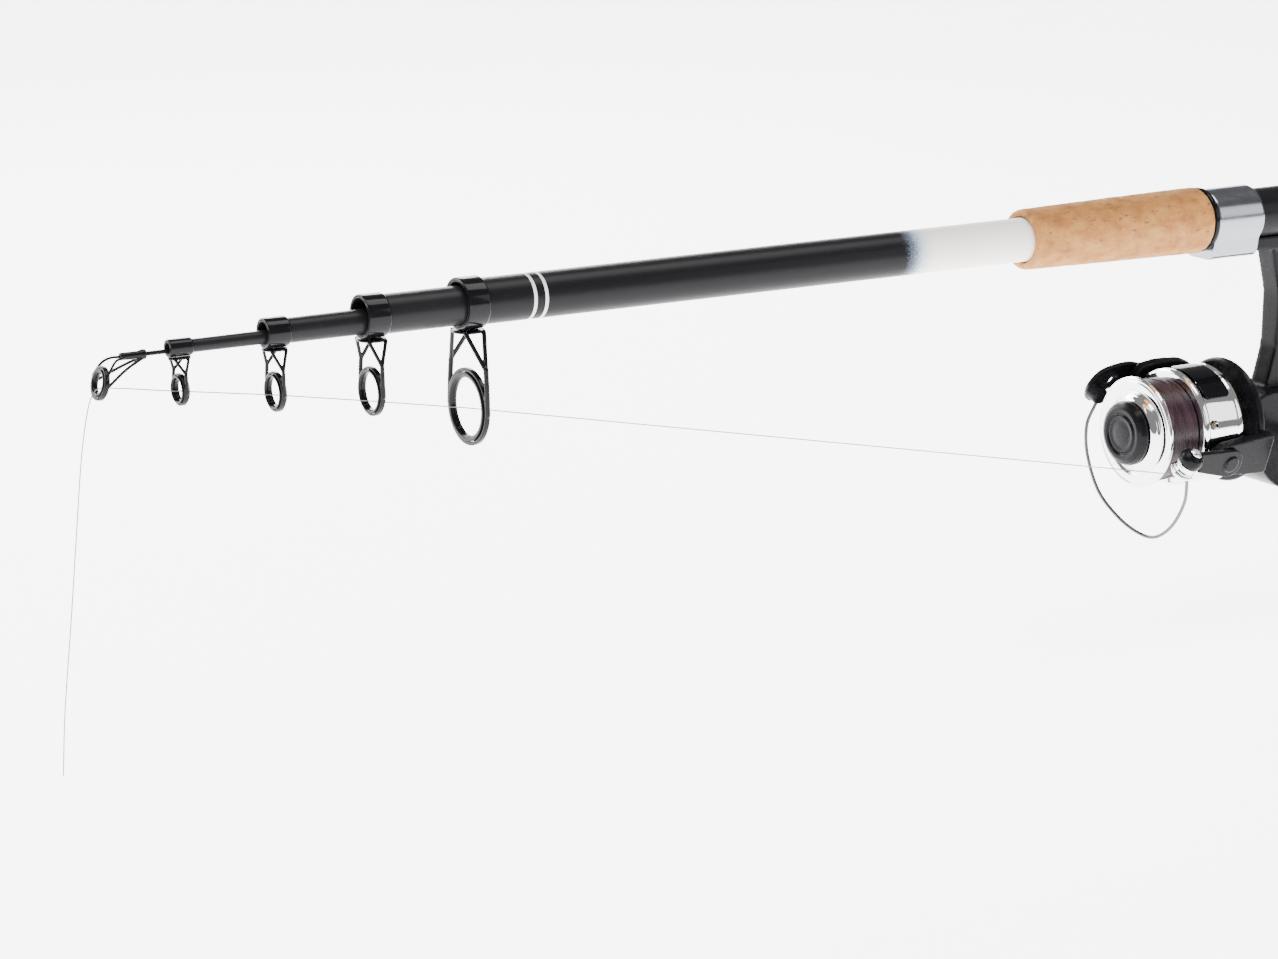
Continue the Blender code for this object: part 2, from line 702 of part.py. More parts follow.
def make_pinion():
    """Nine helical teeth on a hollow sleeve that the main shaft runs through."""
    pitch = GEAR_RADIUS * PINION_TEETH / GEAR_TEETH / math.cos(helix_angle())
    half = 0.3 / pitch
    tooth = [(-half * 2.4, pitch - 0.95), (-half, pitch + 0.6), (half, pitch + 0.6), (half * 2.4, pitch - 0.95)]
    outline = gear_teeth(tooth, PINION_TEETH, math.pi / PINION_TEETH)
    mesh_x = -mesh_offset()
    rows = 7
    length = 8.0
    twist = length * math.tan(helix_angle()) / pitch
    points = []
    count = len(outline)
    for row in range(rows):
        part = row / (rows - 1)
        along = GEAR_X + mesh_x + (part - 0.5) * length
        angle_shift = (part - 0.5) * twist * HELIX_HAND
        for angle, radius in outline:
            points.append(axis_point("X", along, radius, angle + angle_shift))
    faces = [tuple(range(count)), tuple(range(count * rows - 1, count * (rows - 1) - 1, -1))]
    for row in range(rows - 1):
        for i in range(count):
            j = (i + 1) % count
            faces.append((row * count + i, row * count + j, (row + 1) * count + j, (row + 1) * count + i))
    pinion = add_mesh("pinion_gear", points, faces, "brass_gear", (0, 0, AXIS_Z))
    sleeve = turned("pinion_sleeve", disc_profile(-38.0, GEAR_X + mesh_x - 3.5, 3.55), None,
                    (0, 0, AXIS_Z), sides=SMALL_SIDES)
    combine(pinion, sleeve, "UNION")
    bore = turned("pinion_bore", disc_profile(-45.0, 12.0, SHAFT_BORE), None, (0, 0, AXIS_Z), sides=SMALL_SIDES)
    combine(pinion, bore, "DIFFERENCE")
    turned("pinion_bearing", ring_profile(-24.6, -20.6, 3.65, 7.5), "satin_steel", (0, 0, AXIS_Z), sides=20)


def mesh_offset():
    return math.sqrt(GEAR_RADIUS ** 2 - GEAR_DROP ** 2)


def helix_angle():
    return math.asin(GEAR_DROP / GEAR_RADIUS)


def spur_outline(teeth, module, base):
    pitch = teeth * module / 2
    half = FULL_TURN / teeth * 0.2
    tooth = [(-half, pitch - 0.8), (-half * 0.55, pitch + 0.5), (half * 0.55, pitch + 0.5), (half, pitch - 0.8)]
    return [(r * math.cos(a), r * math.sin(a)) for a, r in gear_teeth(tooth, teeth, base)]


def make_drive():
    """A face gear on a square-ended shaft, with the crosswind pinion on its other side."""
    centre = (GEAR_X, 0, AXIS_Z - GEAR_DROP)
    pitch = GEAR_RADIUS * PINION_TEETH / GEAR_TEETH / math.cos(helix_angle())
    tip_y = pitch - 0.55
    root_y = pitch + 0.85
    gear = turned("drive_gear", [
        (DRIVE_END, 0),
        (DRIVE_END, 2.9),
        (root_y + 0.6, 2.9),
        (root_y + 0.6, GEAR_RADIUS - 2.2),
        (root_y, GEAR_RADIUS - 1.6),
        (root_y, GEAR_RADIUS + 1.5),
        (root_y + 1.8, GEAR_RADIUS + 1.5),
        (root_y + 2.4, 4.2),
        (BODY_HALF - 2.0, 4.2),
        (BODY_HALF - 2.0, 2.9),
        (BODY_HALF + 2.0, 2.9),
        (BODY_HALF + 2.0, 0),
    ], "zinc_gear", centre, "Y", sides=23)
    in_mesh = math.atan2(-mesh_offset(), GEAR_DROP)
    points = []
    faces = []
    for i in range(GEAR_TEETH):
        middle = FULL_TURN * i / GEAR_TEETH + in_mesh
        start = len(points)
        for radius in (GEAR_RADIUS - 1.1, GEAR_RADIUS + 1.1):
            for y, half in ((root_y + 0.3, 0.5), (tip_y, 0.28)):
                for side in (-1, 1):
                    points.append(axis_point("Y", y, radius, middle + side * half / radius))
        faces += [tuple(start + k for k in face) for face in (
            (0, 1, 3, 2), (4, 6, 7, 5), (0, 4, 5, 1), (2, 3, 7, 6), (0, 2, 6, 4), (1, 5, 7, 3),
        )]
    teeth = add_mesh("drive_teeth", points, faces, None, centre)
    combine(gear, teeth, "UNION")
    cross = extruded("cross_pinion", spur_outline(CROSS_PINION_TEETH, CROSS_MODULE, cross_centre()[1]), None,
                     -9.0, -6.6, "Y", centre)
    combine(gear, cross, "UNION")
    for name, low in (("drive_bearing_left", -BODY_HALF - 2.8), ("drive_bearing_right", BODY_HALF - 0.8)):
        turned(name, ring_profile(low, low + 3.0, 3.0, 6.1), "satin_steel", centre, "Y", sides=20)


def cross_centre():
    """Where the crosswind gear turns, and the direction to it from the drive gear."""
    distance = (CROSS_TEETH + CROSS_PINION_TEETH) * CROSS_MODULE / 2
    across = CROSS_X - GEAR_X
    down = math.sqrt(distance ** 2 - across ** 2)
    return (CROSS_X, 0, AXIS_Z - GEAR_DROP - down), math.atan2(-down, across)


def make_crosswind():
    """A gear that turns with the handle, and the slider that its pin would push along the body."""
    centre, towards = cross_centre()
    base = towards - math.pi + FULL_TURN / CROSS_TEETH / 2
    gear = extruded("crosswind_gear", spur_outline(CROSS_TEETH, CROSS_MODULE, base), "zinc_gear",
                    -9.0, -6.6, "Y", centre)
    axle = turned("cross_axle", disc_profile(-10.6, -6.0, 1.8), None, centre, "Y", sides=12)
    combine(gear, axle, "UNION")
    pin = turned("cross_pin", disc_profile(-7.0, -4.6, 1.2), None,
                 (centre[0], 0, centre[2] + 5.4), "Y", sides=12)
    combine(gear, pin, "UNION")
    front, rear = SLIDER_X
    low = AXIS_Z - 14.5
    high = AXIS_Z + 5.0
    slider = extruded("crosswind_slider", [(front, low), (rear, low), (rear, high), (front, high)],
                      "satin_steel", -4.2, 3.0)
    slot = extruded("slider_slot", [
        (front + 1.4, low + 1.6),
        (rear - 1.4, low + 1.6),
        (rear - 1.4, AXIS_Z - 4.5),
        (front + 1.4, AXIS_Z - 4.5),
    ], None, -6.0, 6.0)
    combine(slider, slot, "DIFFERENCE")
    bore = turned("slider_bore", disc_profile(5, 25, SHAFT_RADIUS + 0.1), None, (0, 0, AXIS_Z), sides=SMALL_SIDES)
    combine(slider, bore, "DIFFERENCE")


def make_spool():
    place = (0, 0, AXIS_Z)
    bore = SHAFT_BORE
    spool = turned("spool", [
        (BOSS_FRONT, bore),
        (BOSS_FRONT, BOSS_RADIUS - 1.8),
        (BOSS_FRONT + 0.5, BOSS_RADIUS - 1.0),
        (SPOOL_FRONT - 0.6, BOSS_RADIUS),
        (SPOOL_FRONT + 1.4, BOSS_RADIUS + 1.2),
        (SPOOL_FRONT, FLANGE_RADIUS - 2.2),
        (SPOOL_FRONT + 0.4, FLANGE_RADIUS - 0.6),
        (SPOOL_FRONT + 1.4, FLANGE_RADIUS),
        (SPOOL_FRONT + 2.4, FLANGE_RADIUS - 0.5),
        (SPOOL_FRONT + 3.4, BARREL_RADIUS),
        (SKIRT_FRONT - 0.6, BARREL_RADIUS),
        (SKIRT_FRONT, SKIRT_RADIUS - 0.4),
        (SKIRT_FRONT + 0.8, SKIRT_RADIUS),
        (SKIRT_FRONT + 2.0, SKIRT_RADIUS),
        (SKIRT_REAR, SKIRT_RADIUS + 0.4),
        (SKIRT_REAR, SKIRT_RADIUS - 1.2),
        (SKIRT_FRONT + 2.2, SKIRT_RADIUS - 1.6),
        (SKIRT_FRONT + 2.2, 7.0),
        (SKIRT_REAR - 7.0, 6.0),
        (SKIRT_REAR - 7.0, bore),
    ], "chrome", place, sides=24)
    for i in range(SKIRT_HOLES):
        angle = FULL_TURN * i / SKIRT_HOLES + SKIRT_HOLE_TURN
        turn = Matrix.Rotation(angle, 4, "X")
        hole = turned(f"skirt_hole_{i + 1}", disc_profile(
            SKIRT_RADIUS - 4, SKIRT_RADIUS + 3, SKIRT_HOLE_RADIUS
        ), None, (SKIRT_HOLE_X, 0, AXIS_Z), "Z", sides=8, turn=turn)
        combine(spool, hole, "DIFFERENCE")
    turned("spool_line", [
        (SPOOL_FRONT + 4.0, BARREL_RADIUS + GAP),
        (SPOOL_FRONT + 2.9, FLANGE_RADIUS - 2.6),
        (SPOOL_FRONT + 3.6, FLANGE_RADIUS - 1.9),
        (SKIRT_FRONT - 1.2, FLANGE_RADIUS - 1.9),
        (SKIRT_FRONT - 0.5, FLANGE_RADIUS - 2.6),
        (SKIRT_FRONT - 1.1, BARREL_RADIUS + GAP),
    ], "spool_line_violet", place)
    turned("drag_washer", ring_profile(
        BOSS_FRONT - 0.9, BOSS_FRONT - GAP, 4.0, 9.0
    ), "felt_white", place, sides=20)
    turned("drag_knob", [
        (KNOB_FRONT, 0),
        (KNOB_FRONT, 7.6),
        (KNOB_FRONT + 0.8, 8.2),
        (KNOB_FRONT + 0.1, KNOB_RADIUS - 2.8),
        (KNOB_FRONT + 1.0, KNOB_RADIUS - 0.9),
        (KNOB_FRONT + 2.8, KNOB_RADIUS),
        (KNOB_REAR - 0.5, KNOB_RADIUS - 0.2),
        (KNOB_REAR, KNOB_RADIUS - 0.8),
        (KNOB_REAR, 9.4),
        (KNOB_REAR - 0.9, 9.4),
        (KNOB_REAR - 0.9, SHAFT_BORE),
        (SHAFT_FRONT - GAP, SHAFT_BORE),
        (SHAFT_FRONT - GAP, 0),
    ], "reel_black", place)
    turned("main_shaft", disc_profile(SHAFT_FRONT, SHAFT_REAR, SHAFT_RADIUS, 0.4), "satin_steel",
           place, sides=SMALL_SIDES)


def rotor_turn():
    return Matrix.Rotation(ROTOR_TURN, 4, "X")


def arm_outline(front, rear, half):
    return wrap_circles([
        (front + half, 0, half),
        (rear - 2.0, half * 1.05, 2.0),
        (rear - 2.0, -half * 1.05, 2.0),
    ], 20)


def cover_outline(radius):
    """The plate that closes the spring's pocket, flush with the arm so that the lever passes over it."""
    return wrap_circles([(-38.4, 0, radius), (-33.2, 0, radius)], 20)


def rotor_place(x):
    """The point at x on the spool's axis."""
    return (x, 0, AXIS_Z)


def make_rotor():
    """A disc behind the skirt, with an arm forward on each side for the bail."""
    place = (0, 0, AXIS_Z)
    turn = rotor_turn()
    rotor = turned("rotor", [
        (-30.4, 25.0),
        (-28.4, 25.8),
        (-26.4, 23.0),
        (-26.2, 12.0),
        (-26.2, 3.75),
        (-33.6, 3.75),
        (-33.6, 8.0),
        (-30.4, 10.0),
    ], "reel_black", place, turn=turn)
    for side, label in ((-1, "near"), (1, "far")):
        low, high = sorted((side * ARM_INNER, side * ARM_OUTER))
        outline = FAR_ARM_OUTLINE if side > 0 else arm_outline(PIVOT_X - 7.0, -26.6, 7.0)
        arm = extruded(f"rotor_{label}_arm", outline, None, low, high, place=place, turn=turn)
        combine(rotor, arm, "UNION")
        low, high = sorted((side * 21.5, side * (ARM_INNER + 1.0)))
        web = extruded(f"rotor_{label}_web", [(-30.2, -7.5), (-26.8, -7.5), (-26.8, 7.5), (-30.2, 7.5)],
                       None, low, high, place=place, turn=turn)
        combine(rotor, web, "UNION")
    pivots = turned("rotor_pivot_holes", disc_profile(-40, 40, PIN_RADIUS + 0.2), None,
                    rotor_place(PIVOT_X), "Y", 16, turn)
    combine(rotor, pivots, "DIFFERENCE")
    pocket = extruded("spring_pocket", [(-42.4, -3.2), (-31.0, -3.2), (-31.0, 3.2), (-42.4, 3.2)],
                      None, 26.8, 34.0, place=place, turn=turn)
    combine(rotor, pocket, "DIFFERENCE")
    recess = extruded("cover_recess", cover_outline(4.8), None, ARM_OUTER - 0.9, ARM_OUTER + 4.0,
                      place=place, turn=turn)
    combine(rotor, recess, "DIFFERENCE")
    turned("rotor_nut", ring_profile(-37.0, -33.9, 4.25, 6.8), "satin_steel", place, sides=6)
    coils = 10
    tube_along("bail_spring", [
        (lerp(-41.4, -32.0, i / coils), 28.2, 1.6 if i % 2 else -1.6) for i in range(coils + 1)
    ], 0.45, "satin_steel", place, sides=6, turn=turn)
    extruded("rotor_arm_cover", cover_outline(4.6), "reel_black", ARM_OUTER - 0.7, ARM_OUTER,
             place=place, turn=turn)


def roller_turn():
    """From a piece turned about Y, with its outer end at -Y, to the roller's tilted screw."""
    tilt = Vector((0, -1, 0)).rotation_difference(ROLLER_AXIS.normalized()).to_matrix().to_4x4()
    return rotor_turn() @ Matrix.Translation(ROLLER_MIDDLE * MM) @ tilt


def make_bail():
    """The lever and the roller arm turn on pins in the rotor's arms, and the wire joins them."""
    place = (0, 0, AXIS_Z)
    turn = rotor_turn()
    plate = ARM_OUTER + 0.3
    lever = extruded("bail_lever", LEVER_OUTLINE, "reel_black", plate, plate + 2.2, place=place, turn=turn)
    block = extruded("lever_block", circle_points(BAIL_END_X, LEVER_END_LIFT, 3.5, 16), None,
                     BAIL_RADIUS - 1.8, plate + 1.0, place=place, turn=turn)
    combine(lever, block, "UNION")
    pin = turned("lever_pin", disc_profile(ARM_INNER + 0.6, plate + 1.0, PIN_RADIUS), None,
                 rotor_place(PIVOT_X), "Y", 16, turn)
    combine(lever, pin, "UNION")
    bell_x, _, bell_up = ROLLER_MIDDLE + ROLLER_AXIS * 3.4
    arm = extruded("bail_arm", wrap_circles([(PIVOT_X, 0, 6.0), (bell_x, bell_up, 3.7)], 20),
                   "reel_black", -plate - 2.2, -plate, place=place, turn=turn)
    bell_face = -ROLLER_HALF - GAP
    bell_end = bell_face - 5.1
    tilted = roller_turn()
    seat = turned("roller_seat", disc_profile(bell_face, 9.0, ROLLER_RADIUS + 0.8), None, place, "Y", 20, tilted)
    combine(arm, seat, "DIFFERENCE")
    beyond = turned("bell_clearance", disc_profile(-12.0, bell_end, BELL_RADIUS + 1.5), None, place, "Y", 20, tilted)
    combine(arm, beyond, "DIFFERENCE")
    bell = turned("roller_bell", [
        (bell_end, 0),
        (bell_end, 3.0),
        (bell_end + 1.0, 4.2),
        (bell_end + 2.7, BELL_RADIUS),
        (bell_face, 4.4),
        (bell_face, 0),
    ], None, place, "Y", SMALL_SIDES, tilted)
    combine(arm, bell, "UNION")
    pin = turned("arm_pin", disc_profile(-plate - 1.0, -ARM_INNER - 0.6, PIN_RADIUS), None,
                 rotor_place(PIVOT_X), "Y", 16, turn)
    combine(arm, pin, "UNION")
    bore = turned("bell_bore", disc_profile(-12.0, 2.0, 1.4), None, place, "Y", 12, tilted)
    combine(arm, bore, "DIFFERENCE")
    head = bell_end - GAP
    dome = ROLLER_HALF + GAP
    turned("roller_screw", [
        (head - 1.0, 0),
        (head - 1.0, 2.0),
        (head - 0.5, 2.4),
        (head, 2.4),
        (head, 1.2),
        (dome, 1.2),
        (dome, 4.6),
        (dome + 0.6, 5.0),
        (dome + 2.0, 4.2),
        (dome + 3.2, 1.8),
        (dome + 3.6, 0),
    ], "chrome", place, "Y", 16, tilted)
    turned("line_roller", [
        (-ROLLER_HALF, ROLLER_RADIUS),
        (-0.7, ROLLER_RADIUS - 0.5),
        (0.5, ROLLER_RADIUS - 0.9),
        (ROLLER_HALF, ROLLER_RADIUS - 0.2),
        (ROLLER_HALF, 1.4),
        (-ROLLER_HALF, 1.4),
    ], "chrome", place, "Y", SMALL_SIDES, tilted)
    tube_along("bail_wire", smooth_route(WIRE_ROUTE, 28), BAIL_WIRE, "chrome", place, turn=turn)


def make_handle():
    centre = (GEAR_X, 0, AXIS_Z - GEAR_DROP)
    outer = ARM_FACE - ARM_THICK
    end = (HANDLE_LENGTH * math.cos(HANDLE_ANGLE), HANDLE_LENGTH * math.sin(HANDLE_ANGLE))
    arm = extruded("handle_arm", wrap_circles([(0, 0, 6.5), (*end, 4.2)], 20), "satin_steel",
                   outer, ARM_FACE, "Y", centre)
    hub = turned("handle_hub", disc_profile(outer - 2.5, outer + 1.0, 5.6, 0.8), None, centre, "Y", SMALL_SIDES)
    combine(arm, hub, "UNION")
    neck = turned("handle_neck", disc_profile(ARM_FACE - 1.0, DRIVE_END - 0.4, 4.6, 0.6), None, centre, "Y",
                  SMALL_SIDES)
    combine(arm, neck, "UNION")
    tip = (centre[0] + end[0], 0, centre[2] + end[1])
    hole = turned("spindle_hole", disc_profile(outer - 3, ARM_FACE + 3, 1.7), None, tip, "Y", 16)
    combine(arm, hole, "DIFFERENCE")
    spindle_end = outer - KNOB_LENGTH
    turned("knob_spindle", [
        (ARM_FACE + 1.2, 0),
        (ARM_FACE + 1.2, 2.8),
        (ARM_FACE + 0.2, 2.8),
        (ARM_FACE + 0.2, 1.6),
        (spindle_end + 2.0, 1.6),
        (spindle_end + 2.0, 0),
    ], "satin_steel", tip, "Y", 16)
    turned("handle_knob", [
        (spindle_end, 0),
        (spindle_end, 5.8),
        (spindle_end + 1.5, 7.6),
        (spindle_end + 8.0, 8.6),
        (spindle_end + 15.0, 7.4),
        (spindle_end + 21.0, 5.2),
        (outer - 0.8, 4.6),
        (outer - 0.3, 4.0),
        (outer - 0.3, 1.65),
        (spindle_end + 1.6, 1.65),
        (spindle_end + 1.6, 0),
    ], "rubber_black", tip, "Y", SMALL_SIDES)
    cover_top = BODY_HALF + 4.3
    turned("handle_screw_cap", disc_profile(cover_top, cover_top + 2.6, 8.2, 0.8), "satin_steel", centre, "Y")


def make_lever():
    x, z = LEVER_PIVOT
    lever = extruded("anti_reverse_lever", wrap_circles([(0, 0, 2.4), (9.0, -1.6, 1.5)], 14),
                     "reel_black", -3.5, 3.5, place=(x, 0, z))
    pin = turned("lever_axle", disc_profile(-6.0, 6.0, 1.1), None, (x, 0, z), "Y", 12)
    combine(lever, pin, "UNION")


def smooth_route(route, count):
    """Points read evenly from a Catmull-Rom curve through a route."""
    route = [Vector(p) for p in route]
    ends = [route[0] * 2 - route[1]] + route + [route[-1] * 2 - route[-2]]
    spans = len(route) - 1
    read = []
    for i in range(count):
        t = i / (count - 1) * spans
        k = min(int(t), spans - 1)
        t -= k
        a, b, c, d = ends[k:k + 4]
        read.append(0.5 * (2 * b + (c - a) * t + (2 * a - 5 * b + 4 * c - d) * t ** 2
                           + (3 * b - a - 3 * c + d) * t ** 3))
    return read


def line_span(name, route, count):
    curve = bpy.data.curves.new(name, "CURVE")
    curve.dimensions = "3D"
    curve.bevel_depth = LINE_DIAMETER / 2 * MM
    curve.bevel_resolution = 2
    curve.use_fill_caps = True
    spline = curve.splines.new("POLY")
    points = smooth_route(route, count)
    spline.points.add(len(points) - 1)
    for slot, point in zip(spline.points, points):
        slot.co = (*(point * MM), 1.0)
    made = bpy.data.objects.new(name, curve)
    made.data.materials.append(material("line_grey"))
    bpy.context.collection.objects.link(made)


def make_line():
    """The line in spans between the guides, so that a span can follow the section it is on."""
    stops = [Vector(p) for p in LINE_STOPS]
    for number, (start, end) in enumerate(zip(stops, stops[1:]), start=1):
        along = (end - start).normalized() * GAP / 2
        line_span(f"line_{number}", [start + along, end - along], LINE_COUNTS[number - 1])
    line_span(f"line_{len(stops)}", LINE_TAIL, LINE_COUNTS[-1])


clear_scene()
make_sections()
make_guides()
make_tip_guide()
make_grips()
make_seat()
make_body()
make_pinion()
make_drive()
make_crosswind()
make_spool()
make_rotor()
make_bail()
make_handle()
make_lever()
make_line()
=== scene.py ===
"""Looks for a collapsed telescopic spinning rod with a spinning reel on its seat.

Places are in millimetres in the part's frame and become metres when a mesh is made.
-X points to the tip, +X to the butt, +Z up, and the reel hangs below.
"""
import json
import math

import bmesh
import bpy
import numpy as np
from mathutils import Matrix, Vector, noise


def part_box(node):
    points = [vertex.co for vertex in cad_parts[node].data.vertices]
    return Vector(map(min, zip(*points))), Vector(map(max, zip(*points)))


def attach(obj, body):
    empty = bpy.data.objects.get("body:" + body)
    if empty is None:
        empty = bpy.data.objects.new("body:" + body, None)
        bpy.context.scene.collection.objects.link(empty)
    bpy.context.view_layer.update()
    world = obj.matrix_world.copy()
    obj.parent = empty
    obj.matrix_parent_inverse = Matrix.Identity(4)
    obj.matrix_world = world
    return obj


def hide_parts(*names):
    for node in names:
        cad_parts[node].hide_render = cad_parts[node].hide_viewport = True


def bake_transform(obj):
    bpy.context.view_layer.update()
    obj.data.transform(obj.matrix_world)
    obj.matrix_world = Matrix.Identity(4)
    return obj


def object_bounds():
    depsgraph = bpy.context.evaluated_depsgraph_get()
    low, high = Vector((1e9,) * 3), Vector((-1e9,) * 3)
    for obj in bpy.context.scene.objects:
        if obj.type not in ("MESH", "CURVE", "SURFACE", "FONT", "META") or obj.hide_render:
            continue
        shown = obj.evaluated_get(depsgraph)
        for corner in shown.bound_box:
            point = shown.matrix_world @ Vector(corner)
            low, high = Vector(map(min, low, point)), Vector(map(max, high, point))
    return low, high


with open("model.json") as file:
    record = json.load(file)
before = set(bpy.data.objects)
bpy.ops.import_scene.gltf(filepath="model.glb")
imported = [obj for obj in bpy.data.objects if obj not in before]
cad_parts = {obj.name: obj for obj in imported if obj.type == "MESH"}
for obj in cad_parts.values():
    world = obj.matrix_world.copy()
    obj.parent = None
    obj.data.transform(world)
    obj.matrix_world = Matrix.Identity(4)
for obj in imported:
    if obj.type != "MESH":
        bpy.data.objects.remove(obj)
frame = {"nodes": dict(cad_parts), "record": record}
cad_low, cad_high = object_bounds()

MM = 0.001
FULL_TURN = 2.0 * math.pi
FINE = 96
MEDIUM = 64
IDENTITY = Matrix.Identity(4)

# The reel's axis, and the rotor's turn about it at rest
AXIS_Z = -84.0
REEL = Matrix.Translation((0, 0, AXIS_Z * MM))
ROTOR = REEL @ Matrix.Rotation(math.atan2(8.4, 25.7), 4, "X")
DRIVE = Matrix.Translation((2.0 * MM, 0, (AXIS_Z - 9.4) * MM))
PIVOT_X = -50.0
ROLLER_MIDDLE = Vector((-71.0, -29.0, 0.0))
ROLLER_AXIS = Vector((0.2, -0.3, 0.93)).normalized()
ROLLER_TILT = Vector((0, -1, 0)).rotation_difference(ROLLER_AXIS).to_matrix().to_4x4()
ROLLER = ROTOR @ Matrix.Translation(ROLLER_MIDDLE * MM) @ ROLLER_TILT

# The line's route between the guides, and the end that hangs from the tip ring
LINE_DIAMETER = 0.4
LINE_STOPS = (
    (-78.6, -27.0, -95.2),
    (-382.0, 0.0, -38.1),
    (-420.7, 0.0, -31.1),
    (-458.0, 0.0, -24.6),
    (-493.7, 0.0, -19.2),
)
LINE_TAIL = (
    (-493.9, 0.0, -19.2),
    (-504.0, 0.0, -17.6),
    (-515.0, 0.0, -15.8),
    (-522.9, 0.0, -15.0),
    (-525.4, 0.0, -16.6),
    (-527.6, 0.0, -22.0),
    (-530.4, 0.0, -38.0),
    (-533.2, 0.0, -65.0),
    (-536.2, 0.0, -95.0),
    (-539.4, 0.0, -125.0),
    (-540.8, 0.0, -147.5),
)
LINE_BODIES = ("rotor", "rod", "section_2", "section_3", "section_4", "tip_section")
GUIDE_BODIES = {1: "section_4", 2: "section_3", 3: "section_2", 4: "rod"}


# ---------------------------------------------------------------- meshes

def make_mesh(name, points, faces, matrix=IDENTITY):
    """An object from points in millimetres, placed by a matrix in metres, with its mesh in the part's frame."""
    mesh = bpy.data.meshes.new(name)
    work = bmesh.new()
    corners = [work.verts.new(matrix @ (Vector(p) * MM)) for p in points]
    for face in faces:
        work.faces.new([corners[i] for i in face])
    bmesh.ops.recalc_face_normals(work, faces=work.faces)
    work.to_mesh(mesh)
    work.free()
    made = bpy.data.objects.new(name, mesh)
    bpy.context.scene.collection.objects.link(made)
    smooth(made)
    return made


def smooth(made, angle=40.0):
    made.data.shade_smooth()
    made.data.set_sharp_from_angle(angle=math.radians(angle))


def soften(points, size, closed=True, steps=3):
    """Round each corner of a flat outline."""
    kept = []
    count = len(points)
    for i, point in enumerate(points):
        if not closed and i in (0, count - 1):
            kept.append(tuple(point))
            continue
        here = Vector(point)
        back = Vector(points[i - 1]) - here
        on = Vector(points[(i + 1) % count]) - here
        start = here + back.normalized() * min(size, back.length * 0.45)
        end = here + on.normalized() * min(size, on.length * 0.45)
        for k in range(steps + 1):
            t = k / steps
            kept.append(tuple(start * (1 - t) ** 2 + here * 2 * t * (1 - t) + end * t ** 2))
    return kept


def axis_point(axis, along, radius, angle):
    a = radius * math.cos(angle)
    b = radius * math.sin(angle)
    return {"X": (along, a, b), "Y": (b, along, a), "Z": (a, b, along)}[axis]


def turned(name, profile, axis="X", matrix=IDENTITY, sides=FINE, round_by=0.25, ripple=None):
    """Turn an (along, radius) profile with rounded corners; ripple(along, radius, angle) may change a radius."""
    solid = profile[0][1] == 0
    profile = soften(profile, round_by, closed=not solid) if round_by else profile
    points = []
    rows = []
    for along, radius in profile:
        if radius < 1e-6:
            rows.append([len(points)])
            points.append(axis_point(axis, along, 0, 0))
            continue
        rows.append([len(points) + i for i in range(sides)])
        for i in range(sides):
            angle = FULL_TURN * i / sides
            points.append(axis_point(axis, along, ripple(along, radius, angle) if ripple else radius, angle))
    pairs = list(zip(rows, rows[1:]))
    if not solid:
        pairs.append((rows[-1], rows[0]))
    faces = []
    for one, two in pairs:
        for i in range(sides):
            j = (i + 1) % sides
            if len(one) == 1:
                faces.append((one[0], two[i], two[j]))
            elif len(two) == 1:
                faces.append((one[i], two[0], one[j]))
            else:
                faces.append((one[i], two[i], two[j], one[j]))
    return make_mesh(name, points, faces, matrix)


def ring(front, rear, inner, outer):
    return [(front, outer), (rear, outer), (rear, inner), (front, inner)]


def disc(front, rear, radius):
    return [(front, 0), (front, radius), (rear, radius), (rear, 0)]


def extruded(name, outline, low, high, axis="Y", matrix=IDENTITY):
    def at(u, v, w):
        return {"X": (w, u, v), "Y": (u, w, v), "Z": (u, v, w)}[axis]
    count = len(outline)
    points = [at(u, v, low) for u, v in outline] + [at(u, v, high) for u, v in outline]
    faces = [tuple(range(count)), tuple(range(2 * count - 1, count - 1, -1))]
    for i in range(count):
        j = (i + 1) % count
        faces.append((i, j, count + j, count + i))
    return make_mesh(name, points, faces, matrix)


def smooth_route(route, count):
    """Points read evenly from a Catmull-Rom curve through a route."""
    route = [Vector(p) for p in route]
    ends = [route[0] * 2 - route[1]] + route + [route[-1] * 2 - route[-2]]
    spans = len(route) - 1
    read = []
    for i in range(count):
        t = i / (count - 1) * spans
        k = min(int(t), spans - 1)
        t -= k
        a, b, c, d = ends[k:k + 4]
        read.append(0.5 * (2 * b + (c - a) * t + (2 * a - 5 * b + 4 * c - d) * t ** 2
                           + (3 * b - a - 3 * c + d) * t ** 3))
    return read


